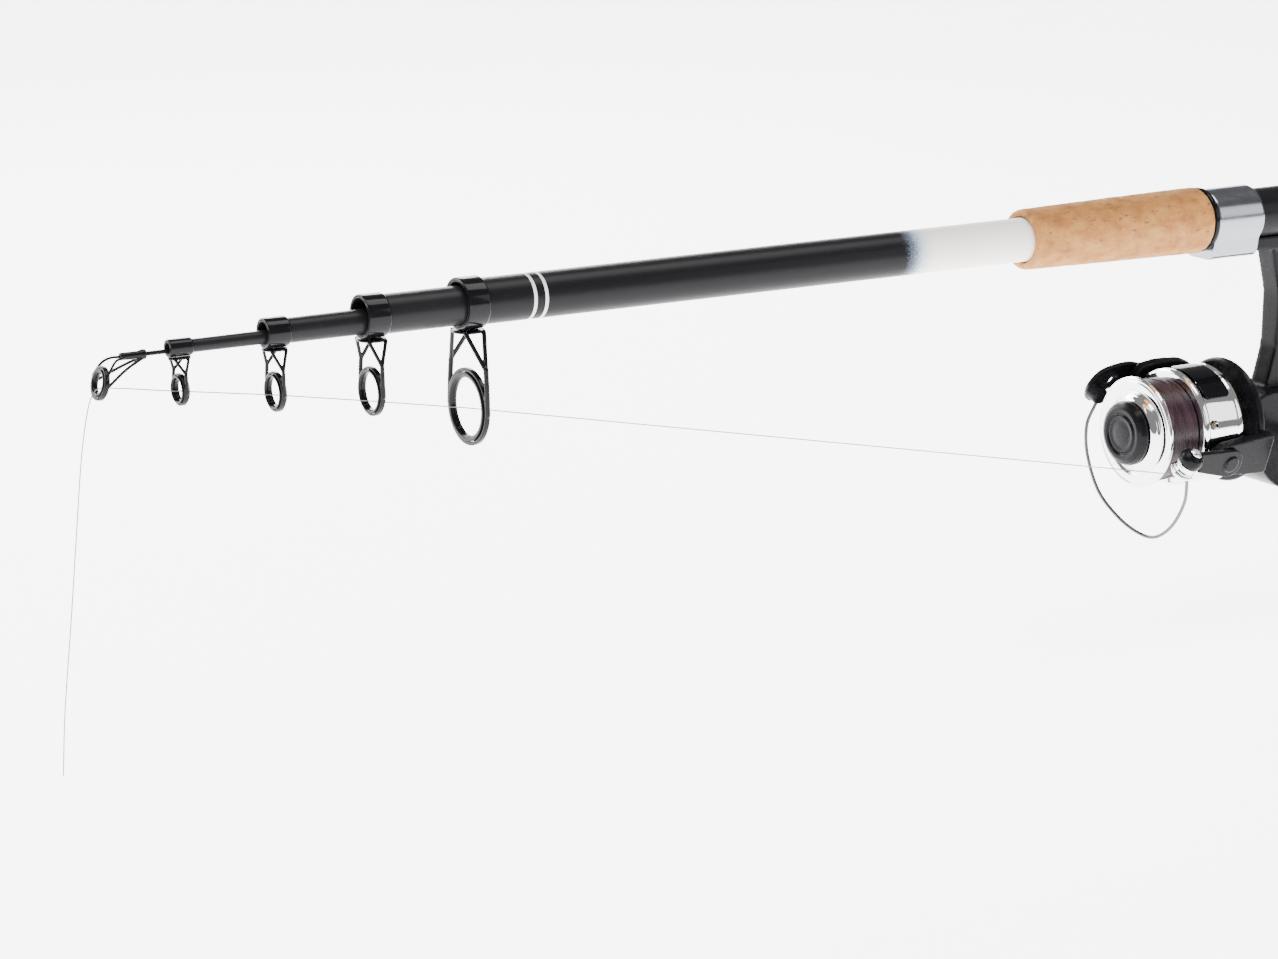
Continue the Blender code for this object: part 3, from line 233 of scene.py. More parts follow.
def tube(name, path, radius, matrix=IDENTITY, sides=16, flat=1.0, ends=3):
    """A tube through points with rounded ends; radius is a number or a function of the share of the path."""
    path = [Vector(p) for p in path]
    count = len(path)
    rows = []
    side = None
    for i, here in enumerate(path):
        along = (path[min(i + 1, count - 1)] - path[max(i - 1, 0)]).normalized()
        if side is None:
            side = along.cross(Vector((0.0, 0.0, 1.0)))
            if side.length < 0.2:
                side = along.cross(Vector((0.0, 1.0, 0.0)))
            side.normalize()
        side = (side - along * side.dot(along)).normalized()
        size = radius(i / (count - 1)) if callable(radius) else radius
        rows.append((here, side, along.cross(side), along, size))
    steps = []
    for k in range(ends):
        turn = math.pi / 2 * k / ends
        steps.append((rows[0], -math.cos(turn), math.sin(turn) if k else 0.15))
    steps += [(row, 0.0, 1.0) for row in rows]
    for k in range(ends - 1, -1, -1):
        turn = math.pi / 2 * k / ends
        steps.append((rows[-1], math.cos(turn), math.sin(turn) if k else 0.15))
    points = []
    for (here, one, two, along, size), push, share in steps:
        for k in range(sides):
            angle = FULL_TURN * (k + 0.5) / sides
            points.append(here + along * push * size * 0.8
                          + (one * math.cos(angle) + two * flat * math.sin(angle)) * size * share)
    total = len(steps)
    faces = [tuple(range(sides)), tuple(range(total * sides - 1, (total - 1) * sides - 1, -1))]
    for row in range(total - 1):
        for k in range(sides):
            j = (k + 1) % sides
            faces.append((row * sides + k, row * sides + j, (row + 1) * sides + j, (row + 1) * sides + k))
    return make_mesh(name, points, faces, matrix)


def circle_points(u, v, radius, count=40):
    return [(u + radius * math.cos(FULL_TURN * i / count), v + radius * math.sin(FULL_TURN * i / count))
            for i in range(count)]


def wrap_circles(circles, count=40):
    """The convex outline round several circles given as (u, v, radius)."""
    points = sorted({p for u, v, radius in circles for p in circle_points(u, v, radius, count)})

    def chain(ordered):
        kept = []
        for p in ordered:
            while len(kept) > 1:
                (ax, ay), (bx, by) = kept[-2], kept[-1]
                if (bx - ax) * (p[1] - ay) - (by - ay) * (p[0] - ax) > 1e-9:
                    break
                kept.pop()
            kept.append(p)
        return kept[:-1]
    return chain(points) + chain(points[::-1])


def settle(made):
    """Bake an object's modifiers into its mesh."""
    bpy.context.view_layer.update()
    seen = made.evaluated_get(bpy.context.evaluated_depsgraph_get())
    baked = bpy.data.meshes.new_from_object(seen)
    old = made.data
    made.modifiers.clear()
    made.data = baked
    bpy.data.meshes.remove(old)
    return made


def remesh(made, voxel, passes):
    step = made.modifiers.new("voxels", "REMESH")
    step.mode = "VOXEL"
    step.voxel_size = voxel * MM
    if passes:
        ease = made.modifiers.new("ease", "SMOOTH")
        ease.factor = 0.5
        ease.iterations = passes
    return settle(made)


def cut(made, cutters, operation="DIFFERENCE", solver="EXACT"):
    for cutter in cutters:
        step = made.modifiers.new(operation.title(), "BOOLEAN")
        step.operation = operation
        step.solver = solver
        step.object = cutter
    settle(made)
    for cutter in cutters:
        bpy.data.objects.remove(cutter)
    return made


def cast(name, parts, voxel, passes=6, cutters=()):
    """Melt closed parts into one smooth skin, with cutters taken out of it."""
    work = bmesh.new()
    for part in parts:
        work.from_mesh(part.data)
        bpy.data.objects.remove(part)
    mesh = bpy.data.meshes.new(name)
    work.to_mesh(mesh)
    work.free()
    made = bpy.data.objects.new(name, mesh)
    bpy.context.scene.collection.objects.link(made)
    remesh(made, voxel, 0 if cutters else passes)
    if cutters:
        cut(made, cutters, solver="MANIFOLD")
        remesh(made, voxel, passes)
    smooth(made, 60.0)
    return made


def piece(made, body, slot, look, *nodes):
    """Give a finished piece its material and its body, and hide the nodes that it stands for; the slot is not used."""
    made.data.materials.clear()
    made.data.materials.append(look)
    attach(made, body)
    if nodes:
        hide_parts(*nodes)
    return made


# ---------------------------------------------------------------- materials

class Look:
    """A Principled material with small helpers; its noise is in the part's own frame, in metres."""

    def __init__(self, name, **sockets):
        self.material = bpy.data.materials.new(name)
        self.material.use_nodes = True
        self.nodes = self.material.node_tree.nodes
        self.links = self.material.node_tree.links
        self.shader = self.nodes["Principled BSDF"]
        for socket, value in sockets.items():
            self.shader.inputs[socket.replace("_", " ")].default_value = value
        self.place = self.nodes.new("ShaderNodeTexCoord").outputs["Object"]

    def link(self, value, socket):
        if isinstance(value, bpy.types.NodeSocket):
            self.links.new(value, socket)
        else:
            socket.default_value = value

    def texture(self, kind, scale, stretch=(1, 1, 1), output=0, **inputs):
        mapping = self.nodes.new("ShaderNodeMapping")
        mapping.inputs["Scale"].default_value = stretch
        self.links.new(self.place, mapping.inputs["Vector"])
        made = self.nodes.new(kind)
        self.links.new(mapping.outputs["Vector"], made.inputs["Vector"])
        made.inputs["Scale"].default_value = scale
        for socket, value in inputs.items():
            made.inputs[socket].default_value = value
        return made.outputs[output]

    def noise(self, scale, detail=3.0, stretch=(1, 1, 1), rough=0.5):
        return self.texture("ShaderNodeTexNoise", scale, stretch, Detail=detail, Roughness=rough)

    def cells(self, scale, stretch=(1, 1, 1), random=1.0):
        return self.texture("ShaderNodeTexVoronoi", scale, stretch, Randomness=random)

    def ramp(self, value, *stops):
        made = self.nodes.new("ShaderNodeValToRGB")
        self.links.new(value, made.inputs[0])
        while len(made.color_ramp.elements) < len(stops):
            made.color_ramp.elements.new(0.5)
        for element, (where, colour) in zip(made.color_ramp.elements, stops):
            element.position = where
            element.color = (*colour, 1.0) if isinstance(colour, tuple) else (colour, colour, colour, 1.0)
        return made.outputs[0]

    def math(self, operation, one, two=0.5):
        made = self.nodes.new("ShaderNodeMath")
        made.operation = operation
        self.link(one, made.inputs[0])
        self.link(two, made.inputs[1])
        return made.outputs[0]

    def axis(self, name):
        made = self.nodes.new("ShaderNodeSeparateXYZ")
        self.links.new(self.place, made.inputs[0])
        return made.outputs[name]

    def mix(self, share, one, two):
        made = self.nodes.new("ShaderNodeMix")
        made.data_type = "RGBA"
        self.link(share, made.inputs[0])
        for socket, value in ((made.inputs[6], one), (made.inputs[7], two)):
            self.link((*value, 1.0) if isinstance(value, tuple) else value, socket)
        return made.outputs[2]

    def span(self, value, low, high, to_low=0.0, to_high=1.0):
        made = self.nodes.new("ShaderNodeMapRange")
        self.link(value, made.inputs[0])
        for slot, number in zip((1, 2, 3, 4), (low, high, to_low, to_high)):
            made.inputs[slot].default_value = number
        return made.outputs[0]

    def colour(self, value):
        self.link(value, self.shader.inputs["Base Color"])

    def rough(self, value, low, high):
        self.link(self.span(value, 0.3, 0.7, low, high), self.shader.inputs["Roughness"])

    def bump(self, height, strength, depth):
        made = self.nodes.new("ShaderNodeBump")
        made.inputs["Strength"].default_value = strength
        made.inputs["Distance"].default_value = depth * MM
        self.links.new(height, made.inputs["Height"])
        before = self.shader.inputs["Normal"]
        if before.is_linked:
            self.links.new(before.links[0].from_socket, made.inputs["Normal"])
        self.links.new(made.outputs["Normal"], before)


RING_BANDS = (-0.3590, -0.3544)
RING_WIDTH = 0.0013
FADE = (-0.1965, -0.1835)


def blank_look(name, tone, decorated=False):
    """Satin lacquer over a composite tube: faint fibres along it, and on the butt two rings and a fade."""
    look = Look(name, Coat_Weight=0.03, Coat_Roughness=0.25, Specular_IOR_Level=0.1)
    fibre = look.noise(900, 4, (0.05, 1, 1))
    speck = look.noise(5200, 2)
    dark = look.mix(fibre, tuple(c * 0.8 for c in tone), tuple(c * 1.25 for c in tone))
    if decorated:
        x = look.axis("X")
        mottle = look.noise(1700, 5, rough=0.75)
        drift = look.math("MULTIPLY", look.math("SUBTRACT", mottle, 0.5), 0.012)
        fade = look.span(look.math("ADD", x, drift), *FADE)
        paint = look.ramp(fade, (0.0, tone), (0.3, (0.10, 0.12, 0.16)), (0.62, (0.47, 0.54, 0.62)),
                          (1.0, (0.83, 0.79, 0.73)))
        dark = look.mix(look.span(fade, 0.0, 0.05), dark, paint)
        for middle in RING_BANDS:
            away = look.math("ABSOLUTE", look.math("SUBTRACT", x, middle))
            band = look.math("LESS_THAN", away, RING_WIDTH / 2)
            dark = look.mix(band, dark, (0.66, 0.66, 0.66))
    look.colour(dark)
    look.rough(speck, 0.33, 0.43)
    look.bump(speck, 0.08, 0.02)
    look.bump(fibre, 0.05, 0.03)
    return look.material


def gloss_look(name, tone, low, high, coat=0.6, grain=1500, depth=0.02):
    """Black paint or moulded plastic: faint orange peel and uneven gloss."""
    look = Look(name, Coat_Weight=coat, Coat_Roughness=0.06, Specular_IOR_Level=0.06)
    patch = look.noise(160, 4)
    peel = look.noise(grain, 2)
    look.colour(look.mix(patch, tuple(c * 0.75 for c in tone), tuple(c * 1.35 for c in tone)))
    look.rough(patch, low, high)
    look.bump(peel, 0.12, depth)
    return look.material


def metal_look(name, tone, low, high, stretch=(1, 1, 1), grain=1400, depth=0.004, anisotropic=0.0):
    """Plated or machined metal, with brushed grain along one way and faint smears."""
    look = Look(name, Metallic=1.0, Anisotropic=anisotropic)
    grainy = look.noise(grain, 4, stretch, 0.65)
    smear = look.noise(90, 4)
    look.colour(look.mix(smear, tuple(c * 0.93 for c in tone), tone))
    look.rough(look.math("ADD", look.math("MULTIPLY", grainy, 0.5), look.math("MULTIPLY", smear, 0.5)), low, high)
    look.bump(grainy, 0.15, depth)
    return look.material


def wire_look():
    return metal_look("wire_steel", (0.10, 0.10, 0.11), 0.25, 0.38, (1, 0.2, 0.2))


def cork_look():
    """Pressed cork: tan grains, and brown bark flecks and pits that lie along the grip."""
    look = Look("cork", Specular_IOR_Level=0.3)
    grain = look.noise(210, 5, (0.7, 1, 1), 0.6)
    fine = look.noise(1300, 4)
    tan = look.ramp(grain, (0.25, (0.20, 0.075, 0.015)), (0.45, (0.34, 0.14, 0.032)), (0.6, (0.42, 0.19, 0.048)),
                    (0.8, (0.50, 0.26, 0.08)))
    tan = look.mix(look.span(fine, 0.35, 0.75, 0.0, 0.35), tan, (0.25, 0.10, 0.03))
    fleck = look.cells(330, (0.34, 1, 1))
    wave = look.noise(75, 3, (0.8, 1, 1))
    depth = look.math("SUBTRACT", look.span(fleck, 0.05, 0.2, 1.0, 0.0), look.span(wave, 0.45, 0.62, 1.0, 0.0))
    pits = look.math("MAXIMUM", depth, 0.0)
    crumbs = look.span(look.noise(520, 5, (0.45, 1, 1), 0.7), 0.60, 0.67)
    tan = look.mix(look.math("MULTIPLY", crumbs, 0.75), tan, (0.11, 0.04, 0.012))
    tan = look.mix(pits, tan, (0.04, 0.014, 0.006))
    look.colour(tan)
    look.rough(fine, 0.62, 0.85)
    look.bump(look.math("SUBTRACT", 1.0, pits), 0.5, 0.35)
    look.bump(look.math("SUBTRACT", 1.0, crumbs), 0.35, 0.2)
    look.bump(fine, 0.25, 0.08)
    return look.material


def wound_look():
    """Turns of dark violet line, with a lighter sheen painted into their colour in streaks round the spool."""
    look = Look("wound_line", Specular_IOR_Level=0.35, Coat_Weight=0.1, Coat_Roughness=0.25)
    # streaks round the spool: they shape the turns' bump and roughness, and the painted sheen in the colour below
    turns = look.noise(1500, 3, (1, 0.04, 0.04), 0.6)
    batch = look.noise(320, 3, (1, 0.2, 0.2))
    # painted sheen: the ramp's lighter stops paint a highlight along the streaks; its darkest stops are the line's own
    # violet
    line_tone_with_painted_sheen = look.ramp(turns, (0.3, (0.006, 0.002, 0.004)), (0.55, (0.022, 0.008, 0.014)),
                     (0.75, (0.09, 0.035, 0.06)))
    look.colour(look.mix(look.span(batch, 0.4, 0.7, 0.0, 0.5), line_tone_with_painted_sheen, (0.03, 0.010, 0.018)))
    look.rough(turns, 0.25, 0.45)
    look.bump(turns, 0.4, 0.05)
    return look.material


def line_look():
    """Clear nylon with a grey violet tint, slightly cloudy along its length."""
    look = Look("nylon_line", Roughness=0.3, Coat_Weight=0.3, Coat_Roughness=0.15)
    cloud = look.noise(260, 3)
    look.colour(look.mix(cloud, (0.06, 0.045, 0.055), (0.14, 0.11, 0.125)))
    look.bump(look.noise(2600, 2), 0.2, 0.02)
    return look.material


def felt_look():
    look = Look("drag_felt", Roughness=0.95, Sheen_Weight=0.4)
    fuzz = look.noise(2600, 5, rough=0.8)
    look.colour(look.mix(fuzz, (0.42, 0.40, 0.35), (0.72, 0.70, 0.64)))
    look.bump(fuzz, 0.7, 0.15)
    return look.material


def floor_look():
    look = Look("pale_floor", Roughness=0.7, Emission_Strength=5.0)
    wide = look.noise(3, 2)
    look.colour(look.mix(wide, (0.95, 0.95, 0.95), (0.97, 0.97, 0.97)))
    return look.material


LOOKS = {
    "blank_black": blank_look("butt_lacquer", (0.005, 0.005, 0.006), decorated=True),
    "blank_dark": blank_look("section_lacquer", (0.007, 0.007, 0.008)),
    "gloss_black": gloss_look("gloss_black", (0.004, 0.004, 0.005), 0.10, 0.2, coat=0.14),
    "ring_insert": gloss_look("ring_ceramic", (0.004, 0.004, 0.005), 0.06, 0.14, coat=0.14, grain=3000, depth=0.006),
    "cork": cork_look(),
    "seat_black": gloss_look("seat_plastic", (0.006, 0.006, 0.007), 0.30, 0.45, coat=0.05),
    "gunmetal": metal_look("gunmetal", (0.26, 0.27, 0.30), 0.14, 0.26, (0.08, 1, 1)),
    "rubber_black": gloss_look("rubber", (0.009, 0.009, 0.010), 0.6, 0.8, coat=0.0, grain=2400, depth=0.08),
    "chrome": metal_look("chrome", (0.86, 0.87, 0.88), 0.03, 0.09, grain=700, depth=0.001),
    "satin_steel": metal_look("satin_steel", (0.55, 0.55, 0.56), 0.25, 0.4, (0.1, 1, 1)),
    "reel_black": gloss_look("reel_paint", (0.004, 0.004, 0.005), 0.20, 0.34, coat=0.05),
    "brass_gear": metal_look("brass", (0.70, 0.50, 0.22), 0.25, 0.4),
    "zinc_gear": metal_look("zinc", (0.42, 0.42, 0.44), 0.38, 0.52),
    "spool_line_violet": wound_look(),
    "line_grey": line_look(),
    "felt_white": felt_look(),
}


def dress_nodes():
    """Every node that stays in view keeps its shape and takes the full material of its slot."""
    for row in frame["record"]["subparts"]:
        node = frame["nodes"][row["node"]]
        node.data.materials.clear()
        node.data.materials.append(LOOKS[row["material_slot"]])


# ---------------------------------------------------------------- camera and light

CAMERA_PLACE = Vector((-0.995955, -1.086417, 0.246864))
CAMERA_YAW = math.radians(32.2562)
CAMERA_PITCH = math.radians(-14.0006)
CAMERA_ROLL = math.radians(0.3133)
CAMERA_LENS = 101.41


def make_camera():
    data = bpy.data.cameras.new("camera")
    data.lens = CAMERA_LENS
    data.sensor_width = 36.0
    data.clip_start = 0.01
    data.clip_end = 50.0
    made = bpy.data.objects.new("camera", data)
    bpy.context.scene.collection.objects.link(made)
    level = math.cos(CAMERA_PITCH)
    forward = Vector((math.sin(CAMERA_YAW) * level, math.cos(CAMERA_YAW) * level, math.sin(CAMERA_PITCH)))
    right = forward.cross(Vector((0, 0, 1))).normalized()
    up = right.cross(forward)
    across = right * math.cos(CAMERA_ROLL) + up * math.sin(CAMERA_ROLL)
    upward = up * math.cos(CAMERA_ROLL) - right * math.sin(CAMERA_ROLL)
    turn = Matrix((across, upward, -forward)).transposed().to_4x4()
    made.matrix_world = Matrix.Translation(CAMERA_PLACE) @ turn
    bpy.context.scene.camera = made


def area_light(name, place, target, size, energy):
    data = bpy.data.lights.new(name, "AREA")
    data.shape = "RECTANGLE"
    data.size, data.size_y = size
    data.energy = energy
    made = bpy.data.objects.new(name, data)
    bpy.context.scene.collection.objects.link(made)
    made.location = place
    made.rotation_euler = (Vector(target) - Vector(place)).to_track_quat("-Z", "Y").to_euler()


def make_studio():
    area_light("top_softbox", (-0.25, -0.15, 1.25), (-0.25, 0.0, 0.0), (1.9, 0.7), 30.0)
    area_light("front_softbox", (-1.3, -1.5, 0.55), (-0.2, 0.0, -0.05), (1.0, 0.8), 5.0)
    area_light("side_softbox", (0.9, -1.2, 0.6), (0.0, 0.0, -0.05), (0.8, 0.8), 6.0)
    area_light("back_softbox", (-0.3, 1.4, 0.8), (-0.2, 0.0, 0.0), (1.8, 0.5), 34.0)
    world = bpy.data.worlds.new("studio")
    bpy.context.scene.world = world
    world.use_nodes = True
    nodes = world.node_tree.nodes
    coords = nodes.new("ShaderNodeTexCoord")
    split = nodes.new("ShaderNodeSeparateXYZ")
    ramp = nodes.new("ShaderNodeValToRGB")
    world.node_tree.links.new(coords.outputs["Generated"], split.inputs[0])
    world.node_tree.links.new(split.outputs["Z"], ramp.inputs[0])
    ramp.color_ramp.elements[0].position = 0.0
    ramp.color_ramp.elements[0].color = (0.92, 0.92, 0.92, 1.0)
    ramp.color_ramp.elements[1].position = 0.5
    ramp.color_ramp.elements[1].color = (1.0, 1.0, 1.0, 1.0)
    background = nodes["Background"]
    world.node_tree.links.new(ramp.outputs[0], background.inputs["Color"])
    background.inputs["Strength"].default_value = 0.3


def make_floor():
    """A wide sheet, set a little below the lowest point, that curves up behind."""
    half = 6000.0
    low = cad_low[2] / MM - 22.0
    rows = [(-half, low), (half, low)]
    rows += [(half + 600 * math.sin(a), low + 600 * (1 - math.cos(a)))
             for a in (math.pi / 2 * i / 12 for i in range(1, 13))]
    rows.append((half + 600, low + 4000))
    points = [(x, y, z) for x in (-half, half) for y, z in rows]
    count = len(rows)
    faces = [(i, i + 1, count + i + 1, count + i) for i in range(count - 1)]
    floor = make_mesh("floor", points, faces)
    floor.data.materials.append(floor_look())


# ---------------------------------------------------------------- line

def line_piece(number, route, count, bodies):
    path = smooth_route(route, count)
    made = tube(f"fishing_line_{number}", path, LINE_DIAMETER / 2, sides=8, ends=2)
    made.data.materials.append(LOOKS["line_grey"])
    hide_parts(f"line_{number}")
    if len(bodies) == 2:
        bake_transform(made)
    else:
        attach(made, bodies[0])


def make_line():
    """One span between each pair of guides, and one for the end that hangs from the tip ring."""
    stops = [Vector(p) for p in LINE_STOPS]
    for number, (start, end) in enumerate(zip(stops, stops[1:]), start=1):
        along = (end - start).normalized() * 0.15
        bodies = LINE_BODIES[number - 1:number + 1]
        line_piece(number, [start + along, end - along], 60 if number == 1 else 24, bodies)
    tail = [Vector(p) for p in LINE_TAIL]
    line_piece(5, tail, 90, ("section_4", "tip_section"))


# ---------------------------------------------------------------- rod

def end_ring(node, rear):
    """The centre, outer and inner radius of a CAD tube's end, in millimetres."""
    points = np.array([v.co for v in frame["nodes"][node].data.vertices], float) / MM
    edge = points[:, 0].max() if rear else points[:, 0].min()
    rim = points[np.abs(points[:, 0] - edge) < 0.4]
    middle = (rim.min(0) + rim.max(0)) / 2
    away = np.hypot(rim[:, 1] - middle[1], rim[:, 2] - middle[2])
    return Vector(middle), float(away.max()), float(away.min())


def make_section(node, body, slot):
    """A tapered tube with a rounded lip, along the line of its CAD node."""
    start, front, front_bore = end_ring(node, False)
    end, rear, rear_bore = end_ring(node, True)
    length = (end - start).length
    turn = Vector((1, 0, 0)).rotation_difference(end - start).to_matrix().to_4x4()
    matrix = Matrix.Translation(start * MM) @ turn
    if front_bore < 0.2:
        profile = [(0, 0), (0, front), (length, rear), (length, 0)]
    else:
        profile = [(0, front_bore), (0, front), (length, rear), (length, rear_bore)]
    made = turned(f"fine_{node}", profile, matrix=matrix, round_by=0.18)
    piece(made, body, slot, LOOKS[slot], node)


COLLAR_HALF = 4.4
GUIDES = {
    1: {"open": 3.75, "insert": 4.7, "hoop": 5.6, "leg": 2.6, "wire": 0.55},
    2: {"open": 4.95, "insert": 6.0, "hoop": 7.05, "leg": 2.9, "wire": 0.6},
    3: {"open": 6.45, "insert": 7.7, "hoop": 8.8, "leg": 3.3, "wire": 0.7},
    4: {"open": 10.35, "insert": 12.4, "hoop": 14.0, "leg": 3.7, "wire": 0.85},
}


def ring_insert(name, opening, insert, depth, matrix, body, node):
    """A polished ring whose bore is rounded like a bead."""
    half = depth / 2
    bore = [(half * 0.97 * math.cos(a), opening + (insert - opening) * 0.62 * (1 - math.sin(a)))
            for a in (math.pi * i / 14 for i in range(15))]
    profile = [(-half, insert), (half, insert)] + bore
    made = turned(name, profile, matrix=matrix, round_by=0.12)
    piece(made, body, "ring_insert", LOOKS["ring_insert"], node)


def make_guide(number, guide):
    """A lipped collar, a stamped wire frame with an oval foot, and a ring in its hoop."""
    body = GUIDE_BODIES[number]
    low, high = (Vector(p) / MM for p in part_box(f"guide_collar_{number}"))
    ring_low, ring_high = (Vector(p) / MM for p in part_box(f"guide_ring_{number}"))
    middle = (low + high) / 2
    radius = (high.y - low.y) / 2
    bore = end_ring(f"guide_collar_{number}", True)[2]
    centre = Matrix.Translation(middle * MM)
    collar = turned(f"collar_{number}", [
        (-COLLAR_HALF, bore),
        (-COLLAR_HALF, radius - 0.1),
        (-COLLAR_HALF + 0.5, radius),
        (COLLAR_HALF - 0.6, radius),
        (COLLAR_HALF, radius - 0.35),
        (COLLAR_HALF, bore),
    ], matrix=centre, round_by=0.3)
    piece(collar, body, "gloss_black", LOOKS["gloss_black"], f"guide_collar_{number}")
    eye = (ring_low + ring_high) / 2
    place = Matrix.Translation(eye * MM)
    ring_insert(f"ring_{number}", guide["open"], guide["insert"], 3.0, place, body, f"guide_ring_{number}")
    wire = guide["wire"]
    drop = eye.z - middle.z
    foot_top = -radius - 0.1
    wide = min(radius * 0.7, 5.6)
    leg_y = wide * 0.85
    leg_top = foot_top - 0.45
    reach = guide["hoop"] - wire * 0.4
    fork = leg_top + (drop - leg_top) * 0.45
    long_half = guide["leg"] * 1.4 + wire
    outline = [(long_half * math.cos(a), wide * math.sin(a)) for a in (FULL_TURN * i / 32 for i in range(32))]
    parts = [
        turned("hoop", ring(-0.95, 0.95, guide["insert"] + 0.1, guide["hoop"]), matrix=place),
        extruded("foot", outline, foot_top - 0.9, foot_top, "Z", centre),
    ]
    for side in (-1, 1):
        fork_y = side * reach * 0.92
        for lean in (-1, 1):
            parts.append(tube("leg", smooth_route([
                (lean * guide["leg"], side * leg_y, leg_top),
                (lean * guide["leg"] * 0.5, (side * leg_y + fork_y) / 2, (leg_top + fork) / 2),
                (0, fork_y, fork),
            ], 14), wire, centre, 12))
        parts.append(tube("arm", smooth_route([
            (0, fork_y * 0.99, fork - (drop - leg_top) * 0.03),
            (0, side * reach * 0.97, (fork + drop) / 2),
            (0, side * reach, drop - wire),
        ], 12), wire * 1.15, centre, 12))
    framed = cast(f"frame_{number}", parts, 0.24, 5)
    piece(framed, body, "gloss_black", LOOKS["gloss_black"], f"guide_frame_{number}")


def make_tip_guide():
    """A small hoop on a short tube, held by two front legs and two long side struts."""
    low, high = (Vector(p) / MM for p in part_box("tip_ring"))
    eye = (low + high) / 2
    rod_end, _, _ = end_ring("tip_section", False)
    height = rod_end.z
    tilted = Matrix.Translation(eye * MM) @ Matrix.Rotation(0.22, 4, "Y")
    ring_insert("tip_insert", 3.3, 4.7, 2.4, tilted, "tip_section", "tip_ring")
    sleeve = Matrix.Translation((0, 0, height * MM))
    front, rear = -515.5, -506.2
    parts = [
        turned("hoop", ring(-0.9, 0.9, 4.8, 5.9), matrix=tilted),
        turned("sleeve", [(front, 0), (front, 1.35), (rear - 2.4, 1.35), (rear - 1.8, 1.75), (rear, 1.75), (rear, 0)],
               matrix=sleeve),
    ]
    for side in (-1, 1):
        parts.append(tube("leg", smooth_route([
            (front + 1.5, side * 0.9, height - 0.3),
            (front - 2.2, side * 2.6, height - 0.6),
            (eye.x + 2.5, side * 4.4, height - 2.4),
            (eye.x - 0.2, side * 5.2, eye.z + 2.0),
        ], 16), 0.5, sides=12))
        parts.append(tube("strut", smooth_route([
            (rear - 1.2, side * 0.8, height - 1.05),
            (front + 1.0, side * 2.6, (height + eye.z) / 2),
            (eye.x + 0.4, side * 5.5, eye.z - 0.4),
        ], 16), 0.55, sides=12))
    framed = cast("tip_frame", parts, 0.2, 4)
    piece(framed, "tip_section", "gloss_black", LOOKS["gloss_black"], "tip_guide_frame")


def cork_ripple(along, radius, angle):
    """Worn cork is not quite round, and its grains stand a little proud."""
    spot = Vector((along * 0.16, math.cos(angle) * radius * 0.35, math.sin(angle) * radius * 0.35))
    return radius + 0.10 * noise.noise(spot) + 0.05 * noise.noise(spot * 4.0)


def fine_steps(profile, step):
    """Add points along the long edges of a profile, so that a ripple can shape them."""
    kept = []
    for a, b in zip(profile, profile[1:]):
        count = max(int(math.hypot(b[0] - a[0], b[1] - a[1]) / step), 1)
        kept += [(a[0] + (b[0] - a[0]) * k / count, a[1] + (b[1] - a[1]) * k / count) for k in range(count)]
    return kept + [profile[-1]]


def make_grip(node, name, radii, end_round):
    low, high = (Vector(p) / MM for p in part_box(node))
    bore = 9.0
    middle = (low.x + high.x) / 2
    profile = [
        (low.x, bore),
        (low.x, radii[0] - end_round),
        (low.x + end_round, radii[0]),
        (middle, radii[1]),
        (high.x - end_round, radii[2]),
        (high.x, radii[2] - end_round),
        (high.x, bore),
    ]
    profile = fine_steps(soften(profile, end_round, closed=True), 0.8)
    made = turned(name, profile, sides=128, round_by=0, ripple=cork_ripple)
    piece(made, "rod", "cork", LOOKS["cork"], node)


def make_handle_end():
    make_grip("front_grip", "cork_front", (11.8, 12.6, 13.2), 1.1)
    make_grip("rear_grip", "cork_rear", (11.9, 12.4, 13.4), 1.2)
    trim = turned("trim_ring", ring(-47.2, -45.2, 9.2, 12.9), round_by=0.5)
    piece(trim, "rod", "gloss_black", LOOKS["gloss_black"], "grip_trim_ring")
    seat = turned("seat_tube", fine_steps([(-44.9, 9.0), (-44.9, 10.2), (68.0, 10.2), (68.0, 9.0)], 6.0), round_by=0.2)
    piece(seat, "rod", "seat_black", LOOKS["seat_black"], "reel_seat")

    def cap_ripple(along, radius, angle):
        if radius < 13.0 or not 266.0 < along < 279.0:
            return radius
        return radius - 0.35 * (math.sin(along * 2.4) > 0.3)
    low, high = (Vector(p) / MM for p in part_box("butt_cap"))
    cap = turned("butt_end_cap", fine_steps([
        (high.x - 1.2, 0),
        (high.x, 8.0),
        (high.x, 11.7),
        (high.x - 0.8, 13.3),
        (high.x - 2.6, 14.2),
        (low.x + 0.8, 14.0),
        (low.x, 13.3),
        (low.x, 9.3),
        (268.3, 9.3),
        (268.3, 0),
    ], 0.6), round_by=0, ripple=cap_ripple)
    piece(cap, "butt_cap", "rubber_black", LOOKS["rubber_black"], "butt_cap")


def make_hood(node, name, body, open_rear):
    """A plated hood: a rounded ring with a hollow pocket below that takes the reel's foot."""
    low, high = (Vector(p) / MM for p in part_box(node))
    front, rear = low.x, high.x
    bottom = low.z
    ring_part = turned("ring", [(front, 9.6), (front, 11.7), (front + 0.5, 12.1), (rear - 0.5, 12.1), (rear, 11.7),
                                (rear, 9.6)], round_by=0.4)
    shape = wrap_circles([(-4.6, bottom + 4.0, 4.0), (4.6, bottom + 4.0, 4.0), (-7.5, -7.0, 2.0), (7.5, -7.0, 2.0)])
    pocket = extruded("pocket", shape, front + 0.4, rear - 0.4, "X")
    inner = [(-6.9, bottom + 1.0), (6.9, bottom + 1.0), (6.9, -8.0), (-6.9, -8.0)]
    mouth = (front + 4.5, rear + 2.0) if open_rear else (front - 2.0, rear - 4.5)
    cutters = [
        extruded("mouth", soften(inner, 1.5), *mouth, "X"),
        turned("bore", disc(front - 2, rear + 2, 10.35), round_by=0),
    ]
    made = cast(name, [ring_part, pocket], 0.35, 5, cutters)
    piece(made, body, "gunmetal", LOOKS["gunmetal"], node)


